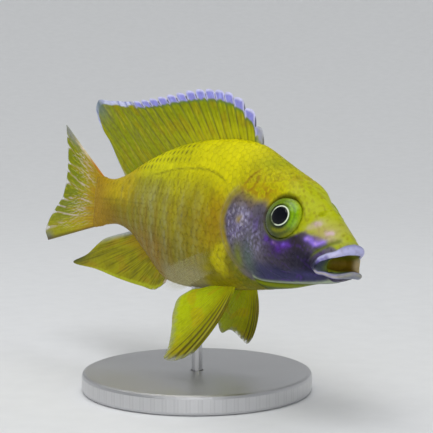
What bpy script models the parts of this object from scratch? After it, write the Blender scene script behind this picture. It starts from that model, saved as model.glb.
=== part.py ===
"""A male peacock cichlid at life size, swimming, as a still display model on a plain stand.

Lengths are in millimetres until a mesh is made.  A station is a distance behind the tip of the
snout, and a height is measured from the long axis of the body.  The fish is built with its nose
towards +X, its left side towards +Y and its back towards +Z, and one empty banks it on the stand.
"""

import math

import bmesh
import bpy
import numpy as np
from mathutils import Vector

MM = 0.001
GAP = 0.3

# The stand: a turned disc and one rod, which rises into the belly behind the pelvic fins.
ROD_STATION = 55.0
ROD_RADIUS = 1.25
BASE_RADIUS = 27.0
BASE_HEIGHT = 4.5
FIN_CLEARANCE = 4.5
ROD_FOOT = 2.0
ROD_IN_BELLY = 4.0

# The pose: the back leans this far to the fish's left, and the nose points straight ahead.
BANK_DEG = 6.35
AXIS_HEIGHT = BASE_HEIGHT + FIN_CLEARANCE + 32.0
BELLY_AT_ROD = -17.0

# The body: its profile, its greatest half width and the height where that lies.
BODY_START = 1.2
BODY_END = 101.5
RING_POINTS = 28
SNOUT_STEPS = (0, 0.3, 0.9, 1.8, 3.2, 5.0, 7.0)
BACK = ((1, -2.6), (3, -1.2), (5.5, 0.9), (8.5, 3.5), (13, 6.8), (20, 10.8), (28, 14.5), (35, 17.2),
        (42, 18.0), (50, 17.8), (60, 16.8), (70, 14.6), (80, 11.2), (89, 7.4), (95, 6.0), (102, 6.7))
BELLY = ((1, -7.9), (3, -9.0), (6, -9.9), (12, -11.4), (20, -12.9), (30, -14.4), (40, -15.7),
         (52, -16.7), (61, -17.1), (67, -16.4), (76, -11.5), (84, -6.9), (91, -5.3), (102, -7.0))
HALF_WIDTH = ((1.2, 1.1), (1.7, 2.0), (2.7, 2.85), (4.5, 3.85), (8, 5.05), (12, 6.25), (16, 7.3),
              (20, 8.1), (25, 8.6), (31, 8.8), (38, 8.7), (48, 8.2), (58, 7.2), (68, 5.7), (78, 4.2),
              (88, 3.0), (96, 2.2), (102, 1.3))
WIDEST = ((0, -5.2), (8, -4.8), (16, -3.0), (24, -2.0), (36, -1.0), (50, 0.5), (66, 1.0), (84, 0.8),
          (102, 0.0))
BACK_FULLNESS = ((0, 2.2), (8, 1.9), (14, 1.85), (20, 1.85), (34, 1.75), (60, 1.7), (84, 1.9), (102, 2.2))
BELLY_FULLNESS = ((0, 2.3), (16, 2.1), (36, 2.2), (56, 2.2), (72, 1.9), (102, 2.1))

# Where the body is parted: the rear edge of the gill covers, their front edge, and the jaw.
GILL_EDGE = ((32.3, 7.3), (34.9, 4.0), (35.8, 0.8), (35.4, -2.0), (34.2, -4.7), (32.2, -7.3),
             (29.4, -9.7), (25.8, -11.8))
GILL_FRONT = ((20.5, -12.0), (22.0, -8.5), (23.6, -4.0), (24.2, 1.0), (25.6, 5.5), (29.0, 7.6))
GILL_COVER_DEPTH = 4.4
NAPE_CUT = ((29.0, 24.0), (31.0, 12.0))
THROAT_CUT = ((24.6, -15.0), (24.0, -22.0))
TAIL_STATION = 86.0
JAW_EDGE = ((8.7, -7.3), (11.5, -8.2), (14.5, -10.0), (16.8, -12.2), (17.4, -18.0))
MOUTH_CORNER = (5.6, -6.8)
MOUTH_TOP = (2.0, -4.0)
MOUTH_BOTTOM = (2.0, -7.4)
LIP_RADIUS = 0.9
UPPER_LIP = ((8.0, 4.9, -6.75, 0.33), (5.7, 4.3, -5.25, 0.6), (3.7, 3.2, -4.05, 0.75), (2.3, 1.8, -3.1, 1.02))
LOWER_LIP = ((7.9, 4.8, -7.75, 0.36), (5.8, 4.15, -8.1, 0.55), (3.7, 3.0, -8.4, 0.8), (2.4, 1.8, -8.4, 0.88))
UPPER_LIP_TIP = (1.95, 0.0, -2.9, 1.12)
LOWER_LIP_TIP = (2.1, 0.0, -8.35, 0.9)

# The eyes: flattened balls set in sockets, with their rims on the skin.
EYE_STATION = 17.5
EYE_HEIGHT = 2.2
EYE_RADIUS = 4.45
EYE_DEPTH = 1.9
EYE_SUNK = 0.7

# The fins are plates.  An edge runs from a fin's first ray to its last, as (share of the base,
# station, height); the paired fins' edges give a drop from their base in place of the height.
FIN_THICKNESS = 0.6
DORSAL_BASE = (34.7, 89.6)
DORSAL_EDGE = ((0, 35.2, 18.9), (0.03, 37.4, 21.9), (0.07, 41.3, 25.2), (0.12, 46.5, 27.8),
               (0.2, 53.0, 29.2), (0.3, 61.0, 29.4), (0.42, 70.5, 28.2), (0.55, 81.0, 26.8),
               (0.68, 91.5, 26.0), (0.8, 101.5, 26.1), (0.86, 107.6, 25.9), (0.91, 106.6, 21.4),
               (0.96, 100.4, 16.2), (1, 91.6, 8.4))
LAPPETS = 14
LAPPETS_END = 0.66
LAPPET_NOTCH = 1.3
ANAL_BASE = (67.2, 84.0)
ANAL_EDGE = ((0, 68.3, -17.6), (0.1, 72.0, -19.5), (0.3, 79.0, -19.6), (0.5, 89.0, -18.9),
             (0.68, 100.0, -17.7), (0.8, 111.6, -17.0), (0.87, 105.2, -14.4), (0.94, 97.0, -9.4),
             (1, 86.8, -7.1))
CAUDAL_BASE = (7.6, -7.3)
CAUDAL_EDGE = ((0, 122.8, 19.3), (0.12, 121.8, 15.6), (0.27, 119.6, 11.0), (0.42, 118.5, 6.2),
               (0.5, 118.8, 3.2), (0.6, 120.2, 0.0), (0.72, 124.0, -3.2), (0.86, 128.0, -7.4),
               (0.95, 129.0, -10.6), (1, 127.0, -12.7))
PECTORAL_BASE = ((35.4, -4.8), (35.2, -10.4))
PECTORAL_EDGE = ((0, 52.5, 8.2), (0.2, 55.4, 10.8), (0.4, 54.4, 13.4), (0.6, 50.5, 14.2),
                 (0.8, 46.0, 13.4), (1, 42.0, 11.4))
PECTORAL_SPREAD = 3.4
PECTORAL_FREE = -9.0
PELVIC_BASE = (36.8, 42.0)
PELVIC_OFFSET = 2.7
PELVIC_EDGE = {"right": ((0, 43.4, 16.0), (0.12, 48.2, 18.0), (0.2, 51.8, 18.3), (0.4, 53.2, 15.0),
                         (0.6, 55.0, 10.5), (0.8, 56.2, 6.5), (0.92, 55.8, 3.2), (1, 52.5, 1.0)),
               "left": ((0, 45.0, 13.8), (0.1, 47.3, 15.1), (0.25, 49.1, 13.8), (0.42, 51.4, 11.8),
                        (0.62, 55.9, 13.1), (0.8, 56.2, 10.0), (0.92, 55.0, 5.0), (1, 51.0, 1.6))}
PELVIC_BOW = 1.9
PELVIC_SPLAY = {"right": 20.0, "left": 30.0}

SIDES = {"right": -1, "left": 1}


def smooth(keys, at):
    """Read a smooth curve through (place, value) keys at one place."""
    places, values = np.array(keys, float).T
    slopes = np.gradient(values, places)
    i = int(np.clip(np.searchsorted(places, at) - 1, 0, len(places) - 2))
    span = places[i + 1] - places[i]
    t = min(max((at - places[i]) / span, 0.0), 1.0)
    rise = t * t * (3 - 2 * t)
    start = t * (1 - t) ** 2 * span * slopes[i]
    end = t * t * (t - 1) * span * slopes[i + 1]
    return float(values[i] * (1 - rise) + values[i + 1] * rise + start + end)


def edge_point(keys, share):
    """The station and height of a fin's edge at one share of its rays."""
    station = smooth([(a, s) for a, s, _ in keys], share)
    return station, smooth([(a, z) for a, _, z in keys], share)


def rounded(points, steps=4):
    """Put extra points on a smooth curve through an outline's points."""
    places = range(len(points))
    stations = [(i, p[0]) for i, p in zip(places, points)]
    heights = [(i, p[1]) for i, p in zip(places, points)]
    ticks = np.linspace(0, len(points) - 1, (len(points) - 1) * steps + 1)
    return [(smooth(stations, t), smooth(heights, t)) for t in ticks]


def fish(station, y, z):
    """A point of the fish in metres, from its station, sideways place and height."""
    return Vector(((ROD_STATION - station) * MM, y * MM, z * MM))


def section(station):
    """The body's section: its widest height, half width, and (rise, fullness) up and down."""
    side = smooth(WIDEST, station)
    up = (smooth(BACK, station) - side, smooth(BACK_FULLNESS, station))
    down = (smooth(BELLY, station) - side, smooth(BELLY_FULLNESS, station))
    return side, smooth(HALF_WIDTH, station), up, down


def half_width_at(station, z):
    """How far the skin is from the middle plane at one height."""
    side, half, up, down = section(station)
    rise, fullness = up if z > side else down
    reach = min(abs((z - side) / rise), 1.0)
    return half * (1 - reach ** fullness) ** (1 / fullness)


def surface_height(station, y, way):
    """The height of the back (way 1) or the belly (way -1), at a distance from the middle."""
    side, half, up, down = section(station)
    rise, fullness = up if way > 0 else down
    return side + rise * (1 - min(abs(y) / half, 1.0) ** fullness) ** (1 / fullness)


def body_ring(station):
    """One ring of the body's skin, from the left flank over the back and round."""
    side, half, up, down = section(station)
    ring = []
    for k in range(RING_POINTS):
        angle = math.tau * k / RING_POINTS
        across, lift = math.cos(angle), math.sin(angle)
        rise, fullness = up if lift > 0 else down
        power = 2 / fullness
        y = half * math.copysign(abs(across) ** power, across)
        ring.append(fish(station, y, side + rise * abs(lift) ** power))
    return ring


def new_object(name, bm, collection, parent, finish=None):
    """Make an object from a bmesh, with its normals out, in a collection and under a parent."""
    bmesh.ops.recalc_face_normals(bm, faces=bm.faces)
    mesh = bpy.data.meshes.new(name)
    bm.to_mesh(mesh)
    bm.free()
    mesh.shade_smooth()
    mesh.set_sharp_from_angle(angle=math.radians(40))
    if finish:
        mesh.materials.append(finish)
    piece = bpy.data.objects.new(name, mesh)
    piece.parent = parent
    collection.objects.link(piece)
    if not finish:
        piece.hide_render = True
        piece.display_type = "WIRE"
    return piece


def finish(name, colour, roughness, metallic=0.0):
    """A plain Principled material."""
    material = bpy.data.materials.new(name)
    material.use_nodes = True
    shader = material.node_tree.nodes["Principled BSDF"]
    shader.inputs["Base Color"].default_value = (*colour, 1)
    shader.inputs["Roughness"].default_value = roughness
    shader.inputs["Metallic"].default_value = metallic
    return material


def boolean(piece, cutter, operation):
    """Cut a piece with a cutter, join it to one, or keep what both share."""
    cut = piece.modifiers.new(operation.lower(), "BOOLEAN")
    cut.object = cutter
    cut.operation = operation


def body_mesh():
    """Loft the whole body as one closed bmesh, from the snout to the root of the tail fin."""
    stations = [*(BODY_START + np.array(SNOUT_STEPS)), *np.linspace(10.5, BODY_END, 36)]
    bm = bmesh.new()
    rings = [[bm.verts.new(co) for co in body_ring(s)] for s in stations]
    for fore, aft in zip(rings, rings[1:]):
        for k in range(RING_POINTS):
            n = (k + 1) % RING_POINTS
            bm.faces.new((fore[k], fore[n], aft[n], aft[k]))
    for ring in (rings[0], rings[-1]):
        bm.faces.new(ring)
    return bm


def prism(name, outline, low, high, collection, parent):
    """A cutter: an outline in the middle plane, run sideways from one y to another."""
    bm = bmesh.new()
    face = bm.faces.new([bm.verts.new(fish(s, low, z)) for s, z in outline])
    sides = bmesh.ops.extrude_face_region(bm, geom=[face])["geom"]
    moved = [v for v in sides if isinstance(v, bmesh.types.BMVert)]
    bmesh.ops.translate(bm, verts=moved, vec=Vector((0, (high - low) * MM, 0)))
    return new_object(name, bm, collection, parent)


def grown(outline, by):
    """An outline moved outwards by a gap."""
    points = np.array(outline, float)
    along = np.roll(points, -1, axis=0) - np.roll(points, 1, axis=0)
    outward = np.stack([along[:, 1], -along[:, 0]], axis=1)
    outward /= np.linalg.norm(outward, axis=1)[:, None]
    following = np.roll(points, -1, axis=0)
    turn = np.sum(points[:, 0] * following[:, 1] - following[:, 0] * points[:, 1])
    return (points + outward * math.copysign(by, turn)).tolist()


def lip_tube(name, side_points, tip, collection, parent):
    """A lip: a bevelled curve round the front of a jaw, made a closed mesh to join to it."""
    left = [(s, y, z, r) for s, y, z, r in side_points]
    right = [(s, -y, z, r) for s, y, z, r in reversed(side_points)]
    path = [*left, tip, *right]
    curve = bpy.data.curves.new(name, "CURVE")
    curve.dimensions = "3D"
    curve.bevel_depth = LIP_RADIUS * MM
    curve.bevel_resolution = 1
    curve.resolution_u = 3
    curve.use_fill_caps = True
    spline = curve.splines.new("NURBS")
    spline.points.add(len(path) - 1)
    spline.use_endpoint_u = True
    spline.order_u = 3
    for point, (s, y, z, r) in zip(spline.points, path):
        point.co = (*fish(s, y, z), 1)
        point.radius = r
    tube = bpy.data.objects.new(name, curve)
    collection.objects.link(tube)
    bpy.context.view_layer.update()
    evaluated = tube.evaluated_get(bpy.context.evaluated_depsgraph_get())
    mesh = bpy.data.meshes.new_from_object(evaluated)
    bm = bmesh.new()
    bm.from_mesh(mesh)
    bmesh.ops.remove_doubles(bm, verts=bm.verts, dist=0.01 * MM)
    bpy.data.objects.remove(tube)
    return new_object(name, bm, collection, parent)


def eye_ball(name, sign, swell, collection, parent, look=None):
    """A flattened ball that faces along the skin's normal, sunk to its rim."""
    step = 0.5
    reach = half_width_at(EYE_STATION, EYE_HEIGHT)
    along = half_width_at(EYE_STATION + step, EYE_HEIGHT) - half_width_at(EYE_STATION - step, EYE_HEIGHT)
    above = half_width_at(EYE_STATION, EYE_HEIGHT + step) - half_width_at(EYE_STATION, EYE_HEIGHT - step)
    facing = Vector((along / (2 * step), sign, -above / (2 * step))).normalized()
    bm = bmesh.new()
    bmesh.ops.create_uvsphere(bm, u_segments=24, v_segments=12, radius=1.0)
    flat = (EYE_RADIUS + swell, EYE_RADIUS + swell, EYE_DEPTH + swell)
    bmesh.ops.scale(bm, vec=Vector(flat) * MM, verts=bm.verts)
    bmesh.ops.rotate(bm, matrix=facing.to_track_quat("Z", "X").to_matrix(), verts=bm.verts)
    centre = fish(EYE_STATION, sign * reach, EYE_HEIGHT) - facing * EYE_SUNK * MM
    bmesh.ops.translate(bm, verts=bm.verts, vec=centre)
    return new_object(name, bm, collection, parent, look)


def fin_plate(name, point, columns, rows, collection, parent, look):
    """A fin: a grid bent over point(share of the base, share of the ray), with a thickness."""
    bm = bmesh.new()
    bmesh.ops.create_grid(bm, x_segments=columns, y_segments=rows, size=0.5)
    for vert in bm.verts:
        vert.co = point(vert.co.x + 0.5, vert.co.y + 0.5)
    fin = new_object(name, bm, collection, parent, look)
    plate = fin.modifiers.new("thickness", "SOLIDIFY")
    plate.thickness = FIN_THICKNESS * MM
    plate.offset = 0
    return fin


def dorsal_point(share, out):
    """The dorsal fin: spines from the back to an edge with a rounded lappet behind each."""
    foot = DORSAL_BASE[0] + share * (DORSAL_BASE[1] - DORSAL_BASE[0])
    floor = smooth(BACK, foot) + GAP
    station, top = edge_point(DORSAL_EDGE, share)
    phase = share / LAPPETS_END * LAPPETS
    notch = LAPPET_NOTCH * (1 - abs(math.sin(math.pi * phase))) ** 2 if phase < LAPPETS else 0.0
    reach = out * (1 - notch / max(top - floor, 3.0))
    return fish(foot + (station - foot) * reach, 0, floor + (top - floor) * reach)


def anal_point(share, out):
    """The anal fin, under the rear of the belly and drawn out to a point."""
    foot = ANAL_BASE[0] + share * (ANAL_BASE[1] - ANAL_BASE[0])
    root = smooth(BELLY, foot) - GAP
    station, tip = edge_point(ANAL_EDGE, share)
    return fish(foot + (station - foot) * out, 0, root + (tip - root) * out)


def caudal_point(share, out):
    """The tail fin: rays that spread from the end of the stalk."""
    foot = BODY_END + GAP
    root = CAUDAL_BASE[0] + share * (CAUDAL_BASE[1] - CAUDAL_BASE[0])
    station, tip = edge_point(CAUDAL_EDGE, share)
    return fish(foot + (station - foot) * out, 0, root + (tip - root) * out)


def pectoral_point(sign):
    """A pectoral fin: a fan behind the gill cover, a little off the flank and free below it."""
    def point(share, out):
        (s0, z0), (s1, z1) = PECTORAL_BASE
        foot, root = s0 + share * (s1 - s0), z0 + share * (z1 - z0)
        station, drop = edge_point(PECTORAL_EDGE, share)
        s = foot + (station - foot) * out
        z = root + (-drop - 3.6 - root) * out
        off = GAP + FIN_THICKNESS + PECTORAL_SPREAD * out
        return fish(s, sign * (half_width_at(s, max(z, PECTORAL_FREE)) + off), z)
    return point


def pelvic_point(side):
    """A pelvic fin: it hangs from the belly, spread to one side, and sweeps back to a point."""
    sign = SIDES[side]
    splay = math.radians(PELVIC_SPLAY[side])

    def point(share, out):
        foot = PELVIC_BASE[0] + share * (PELVIC_BASE[1] - PELVIC_BASE[0])
        station, drop = edge_point(PELVIC_EDGE[side], share)
        bow = PELVIC_BOW * (1 - share) * 4 * out * (1 - out)
        s = foot + (station - foot) * out - bow
        d = drop * out
        y = PELVIC_OFFSET + d * math.sin(splay)
        z = surface_height(s, min(y, PELVIC_OFFSET), -1) - GAP - FIN_THICKNESS - d * math.cos(splay)
        return fish(s, sign * y, z)
    return point


def turned(name, radius, low, high, bevel, collection, look=None):
    """A disc or rod of the stand, upright on the middle of the base."""
    bm = bmesh.new()
    bmesh.ops.create_cone(bm, cap_ends=True, segments=64 if radius > 10 else 20, radius1=radius * MM,
                          radius2=radius * MM, depth=(high - low) * MM)
    bmesh.ops.translate(bm, verts=bm.verts, vec=Vector((0, 0, (high + low) / 2 * MM)))
    piece = new_object(name, bm, collection, None, look)
    if bevel:
        edge = piece.modifiers.new("edge", "BEVEL")
        edge.width = bevel * MM
        edge.segments = 2
        edge.limit_method = "ANGLE"
    return piece


def build_body(parts, cutters, pose, looks):
    """Head, lower jaw, gill covers, trunk and tail stalk, parted from one loft."""
    head_line = rounded([*NAPE_CUT, *GILL_EDGE, *THROAT_CUT])
    aft_line = [(s + GAP + 0.05, z) for s, z in head_line]
    gill_outline = [*rounded(GILL_EDGE), *rounded(GILL_FRONT)]
    jaw_outline = [*rounded(JAW_EDGE, 2), (-6, -18), (-6, -5.5)]
    slope = (MOUTH_TOP[1] - MOUTH_CORNER[1]) / (MOUTH_CORNER[0] - MOUTH_TOP[0])
    mouth_outline = [MOUTH_CORNER, (-3, MOUTH_TOP[1] + slope * (MOUTH_TOP[0] + 3)), (-3, MOUTH_BOTTOM[1]),
                     MOUTH_BOTTOM]

    def cutter(name, outline, low=-15, high=15):
        return prism(name, outline, low, high, cutters, pose)

    fore = cutter("head_region", [*head_line, (-6, -22), (-6, 24)])
    aft = cutter("trunk_region", [*aft_line, (TAIL_STATION, -22), (TAIL_STATION, 24)])
    aft_of = TAIL_STATION + GAP
    stalk = cutter("stalk_region", [(aft_of, -22), (110, -22), (110, 24), (aft_of, 24)])
    jaw = cutter("jaw_region", jaw_outline)
    jaw_room = cutter("jaw_room", grown(jaw_outline, GAP))
    mouth = cutter("mouth_space", mouth_outline)
    upper_lip = lip_tube("upper_lip", UPPER_LIP, UPPER_LIP_TIP, cutters, pose)
    lower_lip = lip_tube("lower_lip", LOWER_LIP, LOWER_LIP_TIP, cutters, pose)
    socket = turned("rod_socket", ROD_RADIUS + GAP, ROD_FOOT, rod_top() + GAP, 0, cutters)

    def body(name, look):
        return new_object(name, body_mesh(), parts, pose, look)

    head = body("head", looks["face"])
    boolean(head, fore, "INTERSECT")
    boolean(head, jaw_room, "DIFFERENCE")
    boolean(head, mouth, "DIFFERENCE")
    for side, sign in SIDES.items():
        inner, outer = sign * GILL_COVER_DEPTH, sign * 15
        gill = cutter(f"gill_region_{side}", gill_outline, inner, outer)
        room = cutter(f"gill_room_{side}", grown(gill_outline, GAP), inner - sign * GAP, outer)
        boolean(head, room, "DIFFERENCE")
        eye_room = eye_ball(f"eye_socket_{side}", sign, GAP, cutters, pose)
        boolean(head, eye_room, "DIFFERENCE")
        cover = body(f"gill_cover_{side}", looks["gill_cover"])
        boolean(cover, gill, "INTERSECT")
        eye_ball(f"eye_{side}", sign, 0, parts, pose, looks["eye"])
    boolean(head, upper_lip, "UNION")
    lower_jaw = body("lower_jaw", looks["face"])
    boolean(lower_jaw, jaw, "INTERSECT")
    boolean(lower_jaw, mouth, "DIFFERENCE")
    boolean(lower_jaw, lower_lip, "UNION")
    trunk = body("trunk", looks["flank"])
    boolean(trunk, aft, "INTERSECT")
    boolean(trunk, socket, "DIFFERENCE")
    tail_stalk = body("tail_stalk", looks["flank"])
    boolean(tail_stalk, stalk, "INTERSECT")


def build_fins(parts, pose, looks):
    """The five unpaired and paired fins, each plate in its own node."""
    fin_plate("dorsal_fin", dorsal_point, 100, 3, parts, pose, looks["fin"])
    fin_plate("anal_fin", anal_point, 26, 4, parts, pose, looks["fin"])
    fin_plate("caudal_fin", caudal_point, 24, 5, parts, pose, looks["fin"])
    for side, sign in SIDES.items():
        fin_plate(f"pectoral_fin_{side}", pectoral_point(sign), 12, 6, parts, pose, looks["clear_fin"])
        fin_plate(f"pelvic_fin_{side}", pelvic_point(side), 14, 6, parts, pose, looks["fin"])


def rod_top():
    """The height above the floor where the rod ends, inside the belly."""
    return AXIS_HEIGHT + BELLY_AT_ROD + ROD_IN_BELLY


def build_stand(parts, cutters, looks):
    """A turned disc with a blind hole, and the rod that stands in it."""
    base = turned("stand_base", BASE_RADIUS, 0, BASE_HEIGHT, 0.8, parts, looks["steel"])
    hole = turned("rod_hole", ROD_RADIUS + GAP, ROD_FOOT - GAP, BASE_HEIGHT + 2, 0, cutters)
    boolean(base, hole, "DIFFERENCE")
    turned("stand_rod", ROD_RADIUS, ROD_FOOT, rod_top(), 0, parts, looks["steel"])


def build():
    """Clear the scene and build the fish on its stand."""
    for old in list(bpy.data.objects):
        bpy.data.objects.remove(old)
    parts = bpy.data.collections.new("peacock_cichlid")
    cutters = bpy.data.collections.new("cutters")
    for collection in (parts, cutters):
        bpy.context.scene.collection.children.link(collection)
    looks = {
        "face": finish("face", (0.30, 0.30, 0.34), 0.35),
        "gill_cover": finish("gill_cover", (0.25, 0.24, 0.42), 0.3),
        "flank": finish("flank", (0.62, 0.58, 0.03), 0.4),
        "eye": finish("eye", (0.05, 0.09, 0.04), 0.05),
        "fin": finish("fin", (0.50, 0.48, 0.02), 0.4),
        "clear_fin": finish("clear_fin", (0.75, 0.72, 0.55), 0.3),
        "steel": finish("steel", (0.62, 0.62, 0.63), 0.3, 1.0),
    }
    pose = bpy.data.objects.new("pose", None)
    bank = math.radians(BANK_DEG)
    pose.location = (0, -BELLY_AT_ROD * math.sin(bank) * MM, AXIS_HEIGHT * MM)
    pose.rotation_euler = (-bank, 0, 0)
    parts.objects.link(pose)
    bpy.context.view_layer.update()
    build_body(parts, cutters, pose, looks)
    build_fins(parts, pose, looks)
    build_stand(parts, cutters, looks)
    bpy.context.view_layer.update()


build()
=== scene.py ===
"""The look of a male peacock cichlid, life size and swimming, on a plain stand.

Lengths are in millimetres until a mesh is placed.  A station is a distance behind the tip of the
snout, a height is measured from the long axis of the body, and y is positive on the left side.
"""

import math

import bmesh
import bpy
import numpy as np
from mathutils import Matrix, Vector


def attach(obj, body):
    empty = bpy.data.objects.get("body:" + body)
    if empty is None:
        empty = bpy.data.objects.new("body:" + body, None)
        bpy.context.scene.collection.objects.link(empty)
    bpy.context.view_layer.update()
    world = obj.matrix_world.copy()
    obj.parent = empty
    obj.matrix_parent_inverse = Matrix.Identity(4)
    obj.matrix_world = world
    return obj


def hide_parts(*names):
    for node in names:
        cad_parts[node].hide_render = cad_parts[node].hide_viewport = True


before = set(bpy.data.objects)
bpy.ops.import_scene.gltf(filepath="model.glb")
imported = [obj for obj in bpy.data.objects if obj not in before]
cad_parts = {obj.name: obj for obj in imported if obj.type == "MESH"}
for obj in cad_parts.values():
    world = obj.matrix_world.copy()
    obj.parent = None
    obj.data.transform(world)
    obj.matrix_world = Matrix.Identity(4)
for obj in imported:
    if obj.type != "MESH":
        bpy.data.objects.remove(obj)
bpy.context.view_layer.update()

MM = 0.001

# The pose and the stand, as the solids have them.
ROD_STATION = 55.0
BANK = math.radians(6.35)
AXIS_HEIGHT = 41.0
ROD_BELLY = 17.0

# The body: its profile, its greatest half width and the height where that lies.
BODY_END = 101.5
SKIN_END = 103.6
BACK = ((1, -2.6), (3, -1.2), (5.5, 0.9), (8.5, 3.5), (13, 6.8), (20, 10.8), (28, 14.5), (35, 17.2),
        (42, 18.0), (50, 17.8), (60, 16.8), (70, 14.6), (80, 11.2), (89, 7.4), (95, 6.0), (102, 6.7))
BELLY = ((1, -7.9), (3, -9.0), (6, -9.9), (12, -11.4), (20, -12.9), (30, -14.4), (40, -15.7),
         (52, -16.7), (61, -17.1), (67, -16.4), (76, -11.5), (84, -6.9), (91, -5.3), (102, -7.0))
HALF_WIDTH = ((1.2, 1.1), (1.7, 2.0), (2.7, 2.85), (4.5, 3.85), (8, 5.05), (12, 6.25), (16, 7.3),
              (20, 8.1), (25, 8.6), (31, 8.8), (38, 8.7), (48, 8.2), (58, 7.2), (68, 5.7), (78, 4.2),
              (88, 3.0), (96, 2.2), (102, 1.3))
WIDEST = ((0, -5.2), (8, -4.8), (16, -3.0), (24, -2.0), (36, -1.0), (50, 0.5), (66, 1.0), (84, 0.8),
          (102, 0.0))
BACK_FULLNESS = ((0, 2.2), (8, 1.9), (14, 1.85), (20, 1.85), (34, 1.75), (60, 1.7), (84, 1.9), (102, 2.2))
BELLY_FULLNESS = ((0, 2.3), (16, 2.1), (36, 2.2), (56, 2.2), (72, 1.9), (102, 2.1))

# The lips, from the middle of the chin round the left corner to the middle of the upper lip: place,
# station, y, height, thickness, then the station and angle of the crease behind them on the skin.
LIPS = ((0.0, 2.1, 0.0, -8.0, 0.84, 3.0, -90.0), (0.085, 2.4, 1.8, -8.2, 0.8, 3.2, -62.0),
        (0.183, 3.7, 3.0, -8.45, 0.74, 4.2, -52.0), (0.313, 5.8, 4.15, -8.18, 0.56, 6.2, -44.0),
        (0.437, 7.9, 4.8, -7.9, 0.4, 8.4, -35.0), (0.480, 8.5, 5.0, -7.2, 0.36, 9.4, -20.0),
        (0.528, 7.9, 4.9, -6.15, 0.42, 8.7, -6.0), (0.665, 5.7, 4.3, -4.75, 0.6, 6.3, 8.0),
        (0.812, 3.7, 3.15, -3.95, 0.7, 4.4, 24.0), (0.914, 2.3, 1.8, -3.1, 1.02, 3.3, 50.0),
        (1.0, 1.95, 0.0, -2.85, 1.15, 3.1, 90.0))
LIP_FLATNESS = 0.8
OPENING = ((0.0, 2.7, 0.0, -7.3), (0.183, 3.6, 2.7, -7.6), (0.313, 4.1, 3.75, -7.6),
           (0.437, 4.7, 4.3, -7.5), (0.480, 4.95, 4.45, -6.8), (0.528, 4.8, 4.35, -6.0),
           (0.665, 4.3, 3.9, -5.1), (0.812, 3.7, 2.9, -4.6), (1.0, 2.6, 0.0, -3.9))
THROAT = (7.6, 3.0, -6.1, 1.5)

# Lines on the side of the head: the gill cover's edge and front, the cheek bone, the folds.
GILL_EDGE = ((31.4, 8.0), (33.8, 6.2), (35.3, 3.6), (35.9, 0.8), (35.4, -2.0), (34.2, -4.7),
             (32.2, -7.3), (29.4, -9.9), (26.0, -12.0))
CHEEK_BONE = ((25.4, 5.4), (24.8, 1.5), (23.8, -2.5), (22.5, -6.0), (20.2, -8.6), (16.3, -9.8),
              (11.4, -9.4))
JAW_LINE = ((27.2, -11.4), (24.6, -12.1), (18.6, -11.8), (14.6, -11.4), (9.8, -10.8), (6.1, -10.1))
JAW_HINGE = ((9.2, -7.2), (10.9, -8.2), (13.6, -9.8), (15.8, -11.4))
LIP_FOLD = ((3.8, -0.9), (6.1, -2.3), (8.4, -3.9), (10.2, -5.6), (10.8, -7.2))
NOSTRIL = (9.9, 3.6, 0.55)
PITS = ((21.6, -2.6), (19.6, -4.0), (17.1, -4.6), (14.4, -4.3), (12.1, -3.3), (10.3, -1.8),
        (6.6, -9.3), (9.3, -9.6), (12.5, -9.7), (4.2, -8.9))

# The gill cover's step and how far it spreads, then the lines of the head's relief, how soon they
# fade at their ends, and the hills of (rise, place, width) across them.
HEAD_RELIEF_END = 45.0
HEAD_PAINT_END = 40.0
GILL_STEP = 0.16
GILL_SPREAD = 1.8
BROW_HEIGHT = 0.9
PIT_DEPTH = 0.22
PIT_WIDTH = 0.4
RELIEF_LINES = ((CHEEK_BONE, 0.15, ((0.22, -0.45, 0.5), (-0.24, 0.35, 0.4))),
                (JAW_LINE, 0.15, ((-0.45, -0.35, 0.4), (0.12, 0.5, 0.6))),
                (JAW_HINGE, 0.25, ((-0.2, 0.0, 0.35),)),
                (LIP_FOLD, 0.25, ((0.18, -0.55, 0.5), (-0.3, 0.1, 0.35))))

# The eye.
EYE_STATION = 17.5
EYE_HEIGHT = 2.2
EYE_RADIUS = 4.45
EYE_DEPTH = 1.8
EYE_SUNK = 0.55
EYE_BACK = 1.6
EYE_GRID = (96, 72)
EYE_CLEAR = 6.0
SOCKET_DEPTH = 2.6
SOCKET_EDGE = 4.55
SOCKET_WALL = 4.2

# Scales: the length of one's uncovered part along the body, and what of the head they cover.
PITCH = ((12, 1.15), (20, 1.25), (30, 1.5), (40, 2.0), (70, 2.05), (90, 1.75), (104, 1.2))
ROW_SHARE = 0.92
COAT_DEPTH = 0.3
BODY_COAT = ((19.0, 25.0), (19.0, 10.2), (22.0, 9.3), (27.0, 8.8), (31.2, 8.6), (34.0, 6.8), (35.7, 3.8),
             (36.3, 0.8), (35.8, -2.1), (34.6, -4.9), (32.6, -7.6), (29.8, -10.3), (26.6, -12.6),
             (25.0, -15.0), (24.0, -30.0), (125.0, -30.0), (125.0, 30.0))
GILL_COAT = ((30.6, 6.8), (33.0, 5.0), (34.2, 3.0), (34.7, 0.8), (34.2, -1.6), (33.1, -4.2), (31.0, -6.8),
             (28.6, -9.0), (25.8, -10.8), (22.8, -11.0), (24.0, -7.5), (25.4, -3.0), (26.2, 1.5),
             (27.2, 5.8))
CHEEK_COAT = ((12.8, -4.4), (16.0, -3.6), (19.0, -2.6), (22.2, -0.5), (22.6, -3.5), (21.0, -6.8),
              (18.2, -8.7), (14.6, -8.6), (12.4, -7.0))
COAT_SPLIT = 36.0
COAT_ENDS = (12.0, 103.0)
COAT_ROWS = 24
COAT_ARC = 30.0

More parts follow.
